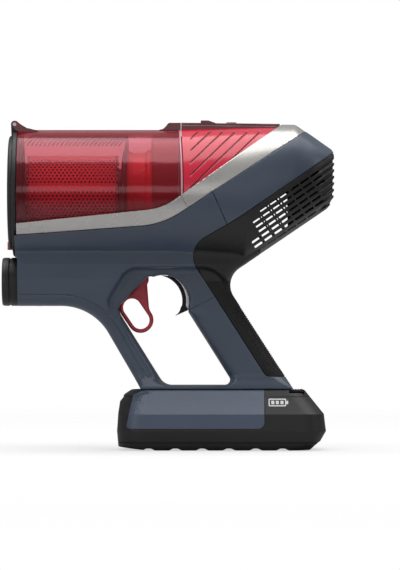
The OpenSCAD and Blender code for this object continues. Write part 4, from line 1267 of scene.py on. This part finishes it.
def stage_material():
    """A pale floor that fades out round the object into the studio's white."""
    mat = bpy.data.materials.new("stage_floor")
    mat.use_nodes = True
    nodes, links = mat.node_tree.nodes, mat.node_tree.links
    nodes.clear()
    out = nodes.new("ShaderNodeOutputMaterial")
    matte = nodes.new("ShaderNodeBsdfDiffuse")
    matte.inputs["Color"].default_value = (0.9, 0.9, 0.9, 1)
    glow = nodes.new("ShaderNodeEmission")
    glow.inputs["Strength"].default_value = 1.0
    pale = nodes.new("ShaderNodeMixShader")
    pale.inputs["Fac"].default_value = 0.6
    dim = nodes.new("ShaderNodeBsdfDiffuse")
    dim.inputs["Color"].default_value = (0.5, 0.5, 0.51, 1)
    path = nodes.new("ShaderNodeLightPath")
    seen = nodes.new("ShaderNodeMixShader")
    gone = nodes.new("ShaderNodeBsdfTransparent")
    fade = nodes.new("ShaderNodeMixShader")
    where = nodes.new("ShaderNodeTexCoord")
    reach = nodes.new("ShaderNodeVectorMath")
    reach.operation = "LENGTH"
    ramp = nodes.new("ShaderNodeMapRange")
    ramp.interpolation_type = "SMOOTHSTEP"
    ramp.inputs["From Min"].default_value, ramp.inputs["From Max"].default_value = 0.35, 1.3
    links.new(where.outputs["Object"], reach.inputs[0])
    links.new(reach.outputs["Value"], ramp.inputs["Value"])
    links.new(ramp.outputs["Result"], fade.inputs["Fac"])
    links.new(matte.outputs["BSDF"], pale.inputs[1])
    links.new(glow.outputs["Emission"], pale.inputs[2])
    links.new(path.outputs["Is Camera Ray"], seen.inputs["Fac"])
    links.new(dim.outputs["BSDF"], seen.inputs[1])
    links.new(pale.outputs["Shader"], seen.inputs[2])
    links.new(seen.outputs["Shader"], fade.inputs[1])
    links.new(gone.outputs["BSDF"], fade.inputs[2])
    links.new(fade.outputs["Shader"], out.inputs["Surface"])
    return mat


floor_mesh = bpy.data.meshes.new("floor")
floor_mesh.from_pydata([(-1.4, -1.4, 0), (1.4, -1.4, 0), (1.4, 1.4, 0), (-1.4, 1.4, 0)], [], [(0, 1, 2, 3)])
floor_mesh.materials.append(stage_material())
floor = bpy.data.objects.new("floor", floor_mesh)
floor.location = (0, 0, -0.0004)
bpy.context.scene.collection.objects.link(floor)

world = bpy.data.worlds.new("studio")
world.use_nodes = True
nodes, links = world.node_tree.nodes, world.node_tree.links
nodes.clear()
out = nodes.new("ShaderNodeOutputWorld")
seen, lit = nodes.new("ShaderNodeBackground"), nodes.new("ShaderNodeBackground")
seen.inputs["Color"].default_value = (1, 1, 1, 1)
seen.inputs["Strength"].default_value = 1.0
lit.inputs["Strength"].default_value = 0.42
sky = nodes.new("ShaderNodeTexCoord")
split = nodes.new("ShaderNodeSeparateXYZ")
tone = nodes.new("ShaderNodeValToRGB")
links.new(sky.outputs["Generated"], split.inputs["Vector"])
height = nodes.new("ShaderNodeMapRange")
height.inputs["From Min"].default_value = -1
links.new(split.outputs["Z"], height.inputs["Value"])
links.new(height.outputs["Result"], tone.inputs["Fac"])
tone.color_ramp.elements[0].position, tone.color_ramp.elements[0].color = 0.45, (0.30, 0.30, 0.31, 1)
tone.color_ramp.elements[1].position, tone.color_ramp.elements[1].color = 0.95, (1, 1, 1, 1)
links.new(tone.outputs["Color"], lit.inputs["Color"])
path = nodes.new("ShaderNodeLightPath")
blend = nodes.new("ShaderNodeMixShader")
links.new(path.outputs["Is Camera Ray"], blend.inputs["Fac"])
links.new(lit.outputs["Background"], blend.inputs[1])
links.new(seen.outputs["Background"], blend.inputs[2])
links.new(blend.outputs["Shader"], out.inputs["Surface"])
bpy.context.scene.world = world


def area_light(name, location, target, size, radiance):
    """A soft box that isn't seen by the camera itself."""
    data = bpy.data.lights.new(name, "AREA")
    data.shape, data.size, data.size_y = "RECTANGLE", size[0], size[1]
    data.energy = radiance * math.pi * size[0] * size[1]
    light = bpy.data.objects.new(name, data)
    light.location = location
    light.rotation_euler = (Vector(target) - Vector(location)).to_track_quat("-Z", "Y").to_euler()
    light.visible_camera = False
    bpy.context.scene.collection.objects.link(light)


area_light("overhead_light", (0.0, -0.1, 1.9), (0.0, -0.0999, 0), (2.8, 2.0), 2.5)
area_light("front_card", (-0.3, -4.2, 0.66), (-0.3, 0, 0.24), (3.8, 0.8), 1.1)
area_light("rear_light", (1.9, -0.9, 0.9), (0.02, 0, 0.2), (0.5, 1.1), 2.0)
area_light("nose_light", (-0.66, -0.62, 0.24), (-0.12, 0, 0.16), (0.35, 0.45), 1.5)

camera_data = bpy.data.cameras.new("camera")
camera_data.lens = 36 * 3.5 / 0.4959
camera_data.sensor_width = 36
camera_data.clip_end = 60
camera = bpy.data.objects.new("camera", camera_data)
camera.location = (-0.0183, -3.5, 0.1427)
camera.rotation_euler = (math.radians(90), 0, 0)
bpy.context.scene.collection.objects.link(camera)
bpy.context.scene.camera = camera
bpy.context.scene.view_settings.view_transform = "Standard"
